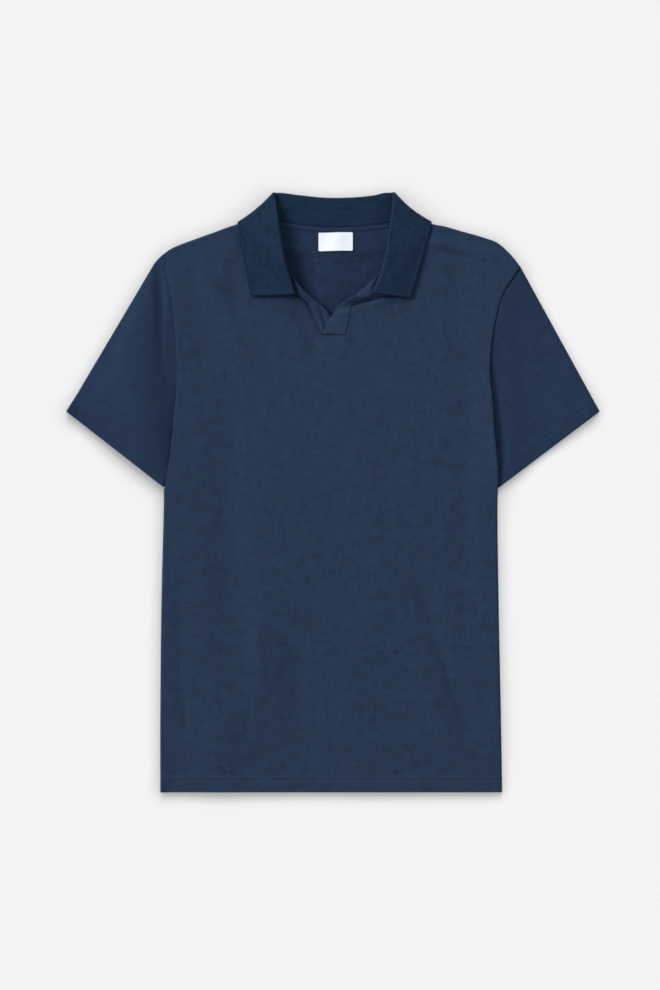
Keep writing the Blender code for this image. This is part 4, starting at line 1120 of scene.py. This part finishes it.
NAVY = (0.0092, 0.0212, 0.0458)
SHADED_REVERSE_NAVY = (0.0066, 0.0172, 0.0405)  # the knit's inner side, darker for the reverse face and as painted shade inside the neck
# painted shade: the sleeves are coloured darker than the body
SHADED_SLEEVE_NAVY = (0.0077, 0.0188, 0.0434)
UNDER_NAVY, LAPPING_NAVY = (0.0085, 0.0194, 0.0421), (0.0119, 0.0262, 0.0553)
# painted shade: the neck tape is coloured darker, as it lies in shade inside the neck
SHADED_TAPE_NAVY = (0.0067, 0.0173, 0.0405)
RIB_NAVY = (0.0039, 0.0136, 0.0306)
BODY_THREAD, SLEEVE_THREAD = (0.0150, 0.0305, 0.0600), (0.0080, 0.0187, 0.0405)
LABEL_WHITE = (0.505, 0.535, 0.605)
FLOOR_PAPER = (0.892, 0.892, 0.892)
WALE, COURSE = 0.00092, 0.00074  # width and height of a knitted loop
RIB_PITCH, BORDER_WIDTH = 0.00145, 0.0006
FUZZ = 1500.0  # fineness of the nap
WEFT, WARP = 0.00034, 0.00026  # threads of the label's satin
HUE_TURN = (-0.15, 0.05, 1.2)  # how a higher hue makes a colour bluer
HUE_SPREAD = 0.22  # and how far it ranges


class Recipe:
    """Nodes of a finish, each fed with numbers or with what other nodes put out."""

    def __init__(self, tree):
        self.tree = tree

    def feed(self, socket, value):
        if hasattr(value, "is_output"):
            self.tree.links.new(value, socket)
        else:
            socket.default_value = value

    def node(self, kind, inputs=(), **settings):
        made = self.tree.nodes.new("ShaderNode" + kind)
        for name, value in settings.items():
            setattr(made, name, value)
        for name, value in inputs.items() if isinstance(inputs, dict) else enumerate(inputs):
            self.feed(made.inputs[name], value)
        return made

    def worked(self, operation, a, b=0.0, c=0.0):
        return self.node("Math", (a, b, c), operation=operation).outputs[0]

    def weighed(self, *parts):
        """Sum of values, each times its weight."""
        total = self.worked("MULTIPLY", *parts[0])
        for value, weight in parts[1:]:
            total = self.worked("MULTIPLY_ADD", value, weight, total)
        return total

    def wave(self, value, pitch):
        return self.worked("SINE", self.worked("MULTIPLY", value, 2 * math.pi / pitch))

    def bell(self, value, centre, width):
        """1 at the centre, and down to 0 on both sides."""
        off = self.worked("DIVIDE", self.worked("SUBTRACT", value, centre), width)
        return self.worked("EXPONENT", self.worked("MULTIPLY", self.worked("MULTIPLY", off, off), -1.0))

    def noise(self, place, scale, detail=2.0, rough=0.5):
        """Noise about 0, finer along an axis where its scale is higher."""
        spread = self.node("Mapping", {"Scale": np.ones(3) * scale, "Vector": place})
        made = self.node("TexNoise", {
            "Scale": 1.0, "Detail": detail, "Roughness": rough, "Vector": spread.outputs[0]})
        return self.worked("SUBTRACT", made.outputs[0], 0.5)


class Finish(Recipe):
    """A material: how rough, glossy and downy it is, and then its relief and colour."""

    def __init__(self, name, roughness, specular, sheen):
        self.material = bpy.data.materials.new(name)
        self.material.use_nodes = True
        super().__init__(self.material.node_tree)
        self.shader = self.tree.nodes["Principled BSDF"]
        for socket, value in (("Roughness", roughness), ("Specular IOR Level", specular),
                              ("Sheen Weight", sheen), ("Sheen Roughness", 0.5)):
            self.shader.inputs[socket].default_value = value

    def cloth(self):
        """The place on the flat cloth, and how far across and along it that is."""
        layer = self.node("UVMap", uv_map="cloth").outputs[0]
        apart = self.node("SeparateXYZ", [layer])
        return layer, apart.outputs[0], apart.outputs[1]

    def bumped(self, height, distance, strength):
        bump = self.node("Bump", {"Strength": strength, "Distance": distance, "Height": height})
        self.feed(self.shader.inputs["Normal"], bump.outputs[0])

    def dyed(self, colour, shade, hue=None):
        """The colour times 1 + shade, bluer where hue is above 0 and greener below."""
        factor = self.worked("ADD", shade, 1.0)
        made = self.node("VectorMath", {0: colour, "Scale": factor}, operation="SCALE").outputs[0]
        if hue is not None:
            hue = self.worked("MULTIPLY", hue, HUE_SPREAD)
            turn = self.node("VectorMath", (hue, HUE_TURN, (1.0, 1.0, 1.0)), operation="MULTIPLY_ADD")
            made = self.node("VectorMath", (made, turn.outputs[0]), operation="MULTIPLY").outputs[0]
        self.feed(self.shader.inputs["Base Color"], made)
        return self.material


def jersey(name, colour, mottle=1.0, painted_light_rise=0.0):
    """Fine single knit: slanting loops in wales and courses, uneven yarn, a soft washed look, and
    painted light that makes the cloth paler up its length.
    """
    knit = Finish(name, roughness=0.9, specular=0.08, sheen=0.04)
    place, u, v = knit.cloth()
    cell = knit.worked("SUBTRACT", knit.worked("FRACT", knit.worked("DIVIDE", u, WALE)), 0.5)
    slant = knit.worked("ABSOLUTE", cell)
    legs = knit.wave(knit.worked("SUBTRACT", knit.worked("DIVIDE", v, COURSE), slant), 1.0)
    gaps = knit.worked("COSINE", knit.worked("MULTIPLY", cell, 4 * math.pi))
    loops = knit.worked("SUBTRACT", legs, gaps)
    fuzz = knit.noise(place, FUZZ, detail=3.0)
    knit.bumped(knit.worked("MULTIPLY_ADD", fuzz, 2.0, loops), distance=0.00005, strength=0.8)
    washed = knit.noise(place, 75.0, detail=4.0, rough=0.95)
    wales = knit.noise(place, (430.0, 24.0, 1.0), detail=3.0, rough=0.6)
    courses = knit.noise(place, (26.0, 430.0, 1.0), detail=3.0, rough=0.6)
    # the (v, ...) term is painted light: the cloth grows paler towards the collar and darker towards
    # the hem
    shade = knit.weighed(
        (washed, 1.25 * mottle), (wales, 0.42 * mottle), (courses, 0.42 * mottle),
        (loops, 0.04), (fuzz, 0.25), (v, painted_light_rise))
    return knit.dyed(colour, shade, hue=knit.noise(place, 180.0, detail=3.0))


def rib(name, colour):
    """Flat-knit rib with streaky yarn and two border lines."""
    knit = Finish(name, roughness=0.92, specular=0.07, sheen=0.03)
    place, u, v = knit.cloth()
    lines, loops = knit.wave(v, RIB_PITCH), knit.wave(u, COURSE)
    streaks = knit.noise(place, (34.0, 480.0, 1.0), detail=4.0, rough=0.6)
    soft = knit.noise(place, 36.0, detail=6.0, rough=0.85)
    ladder = knit.noise(place, (560.0, 60.0, 1.0))
    fuzz = knit.noise(place, FUZZ, detail=3.0)
    border = 0.0
    for at in BORDER_LINES:
        border = knit.worked("ADD", knit.bell(v, at * MM, BORDER_WIDTH), border)
    height = knit.worked("MULTIPLY_ADD", loops, 0.4, lines)
    for value, weight in ((border, -2.2), (fuzz, 2.0)):
        height = knit.worked("MULTIPLY_ADD", value, weight, height)
    knit.bumped(height, distance=0.00009, strength=0.8)
    shade = knit.weighed(
        (streaks, 1.5), (soft, 1.1), (ladder, 0.85), (lines, 0.06), (fuzz, 0.25), (border, -0.16))
    return knit.dyed(colour, shade, hue=knit.noise(place, 200.0, detail=3.0))


def satin(name, colour):
    weave = Finish(name, roughness=0.55, specular=0.35, sheen=0.0)
    place, u, v = weave.cloth()
    weft, warp = weave.wave(v, WEFT), weave.wave(u, WARP)
    weave.bumped(weave.worked("MULTIPLY_ADD", warp, 0.5, weft), distance=0.00002, strength=0.6)
    soft = weave.noise(place, 260.0, detail=3.0)
    return weave.dyed(colour, weave.weighed((weft, 0.012), (soft, 0.05)))


def thread(name, colour):
    yarn = Finish(name, roughness=0.6, specular=0.2, sheen=0.05)
    soft = yarn.noise(yarn.node("TexCoord").outputs["Object"], 900.0)
    yarn.bumped(soft, distance=0.00004, strength=0.5)
    return yarn.dyed(colour, yarn.worked("MULTIPLY", soft, 0.4))


def paper(name, colour):
    plain = Finish(name, roughness=0.95, specular=0.1, sheen=0.0)
    grain = plain.noise(plain.node("TexCoord").outputs["Object"], 300.0)
    return plain.dyed(colour, plain.worked("MULTIPLY", grain, 0.006))


# --- camera, floor and light ---

VIEW_CENTRE = -0.00366
FIELD = 990 * 1.22 * MM  # height of the view
FIELD_Z = 0.005  # where it is that high, in the middle of the shirt
LENS, SENSOR, VIEW_END = 85.0, 36.0, 20.0
FLOOR_SIZE = 12.0
SKY = 0.44  # the studio's even light from above
HORIZON, HORIZON_RISE, HORIZON_SPREAD = 5.4, 0.30, 0.07  # and the paler band of its walls
NORTH = 0.55  # how much brighter the band is behind the collar than behind the hem

camera = linked("camera", bpy.data.cameras.new("camera"))
camera.data.lens = LENS
camera.data.sensor_width = SENSOR
camera.data.clip_end = VIEW_END
camera.location = (VIEW_CENTRE, VIEW_CENTRE, FIELD * LENS / SENSOR + FIELD_Z)
bpy.context.scene.camera = camera

bpy.ops.object.select_all(action="DESELECT")
bpy.ops.mesh.primitive_plane_add(size=FLOOR_SIZE, location=(0.0, 0.0, 0.0))
floor = bpy.context.object
floor.name = "floor"
floor.data.materials.append(paper("floor_paper", FLOOR_PAPER))

world = bpy.data.worlds.new("studio")
bpy.context.scene.world = world
world.use_nodes = True
sky = Recipe(world.node_tree)
way = sky.node("SeparateXYZ", [sky.node("TexCoord").outputs["Generated"]])
band = sky.bell(way.outputs[2], HORIZON_RISE, HORIZON_SPREAD)
band = sky.worked("MULTIPLY", band, sky.worked("MULTIPLY_ADD", way.outputs[1], NORTH, 1.0))
light_of_sky = sky.tree.nodes["Background"]
light_of_sky.inputs["Color"].default_value = (1.0, 1.0, 1.0, 1.0)
sky.feed(light_of_sky.inputs["Strength"], sky.worked("MULTIPLY_ADD", band, HORIZON, SKY))


def window(name, strength, source, angle, pieces):
    """A broad soft light from the direction source, which falls on these objects alone."""
    light = linked(name, bpy.data.lights.new(name, "SUN"))
    light.data.energy = strength
    light.data.angle = math.radians(angle)
    light.rotation_euler = Vector(source).to_track_quat("Z", "Y").to_euler()
    group = bpy.data.collections.new(name + "_falls_on")
    for piece in pieces:
        group.objects.link(piece)
    light.light_linking.receiver_collection = group


# --- the shirt ---

# painted light: the body grows paler towards the collar and darker towards the hem
body_jersey = jersey("body_jersey", NAVY, painted_light_rise=0.10)
shaded_sleeve_jersey = jersey("shaded_sleeve_jersey", SHADED_SLEEVE_NAVY, mottle=0.85)
shaded_reverse_jersey = jersey("shaded_reverse_jersey", SHADED_REVERSE_NAVY, mottle=1.2)
navy_thread = thread("navy_thread", BODY_THREAD)
sleeve_thread = thread("sleeve_thread", SLEEVE_THREAD)

back = make_back(body_jersey, shaded_reverse_jersey)
front = make_front(body_jersey)
collar = make_collar(rib("collar_knit", RIB_NAVY))
under = sheet("placket_under_right", facing_points(UNDER_FACING, UNDER_CREASES),
              jersey("under_facing_jersey", UNDER_NAVY), wall=UNDER_WALL, rounding=FACING_ROUND)
lapping_run = facing_points(LAPPING_FACING, [])
lapping = sheet("placket_lapping_left", lapping_run[:, ::-1],
                jersey("lapping_facing_jersey", LAPPING_NAVY), wall=LAPPING_WALL, rounding=FACING_ROUND)
binding = make_neck_tape(jersey("shaded_tape_jersey", SHADED_TAPE_NAVY))
label = make_label(satin("label_satin", LABEL_WHITE))
sleeves = {side: make_sleeve(side, shaded_sleeve_jersey) for side in SIDES}
on_face = np.array([0.0, 0.0, LAPPING_WALL / 2 + FACING_THREAD_UP])
foot_rows = [lapping_run[row, 1:-1] + on_face for row in (1, 3)]
placket_stitches = stitches(
    "placket_stitches", foot_rows, navy_thread, pitch=2.4, length=1.8, radius=0.16)
front_hem_stitches = stitches("front_hem_stitches", body_hem_lines("front"), navy_thread)
back_hem_stitches = stitches("back_hem_stitches", body_hem_lines("back"), navy_thread)
sleeve_stitches = {
    side: stitches("sleeve_%s_stitches" % side, sleeve_hem_lines(side), sleeve_thread) for side in SIDES
}

for piece, solid, slot in (
    (back, "back", "jersey"), (front, "front", "jersey"), (collar, "collar", "rib"),
    (under, "placket_right", "jersey"), (lapping, "placket_left", "jersey"),
    (binding, "neck_tape", "tape"), (label, "label", "label"),
    (sleeves["right"], "sleeve_right", "jersey"), (sleeves["left"], "sleeve_left", "jersey"),
):
    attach(piece, "root")
    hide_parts(solid)
for piece in (front_hem_stitches, back_hem_stitches, placket_stitches, *sleeve_stitches.values()):
    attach(piece, "root")

shirt = [piece for piece in bpy.context.scene.objects if piece.type == "MESH" and piece is not floor]
window("key", strength=6.0, source=(-0.82, 0.46, 0.46), angle=24.0, pieces=shirt)
window("fill", strength=1.25, source=(0.0, 0.80, 0.38), angle=34.0, pieces=[floor])
bpy.context.scene.view_settings.view_transform = "Standard"
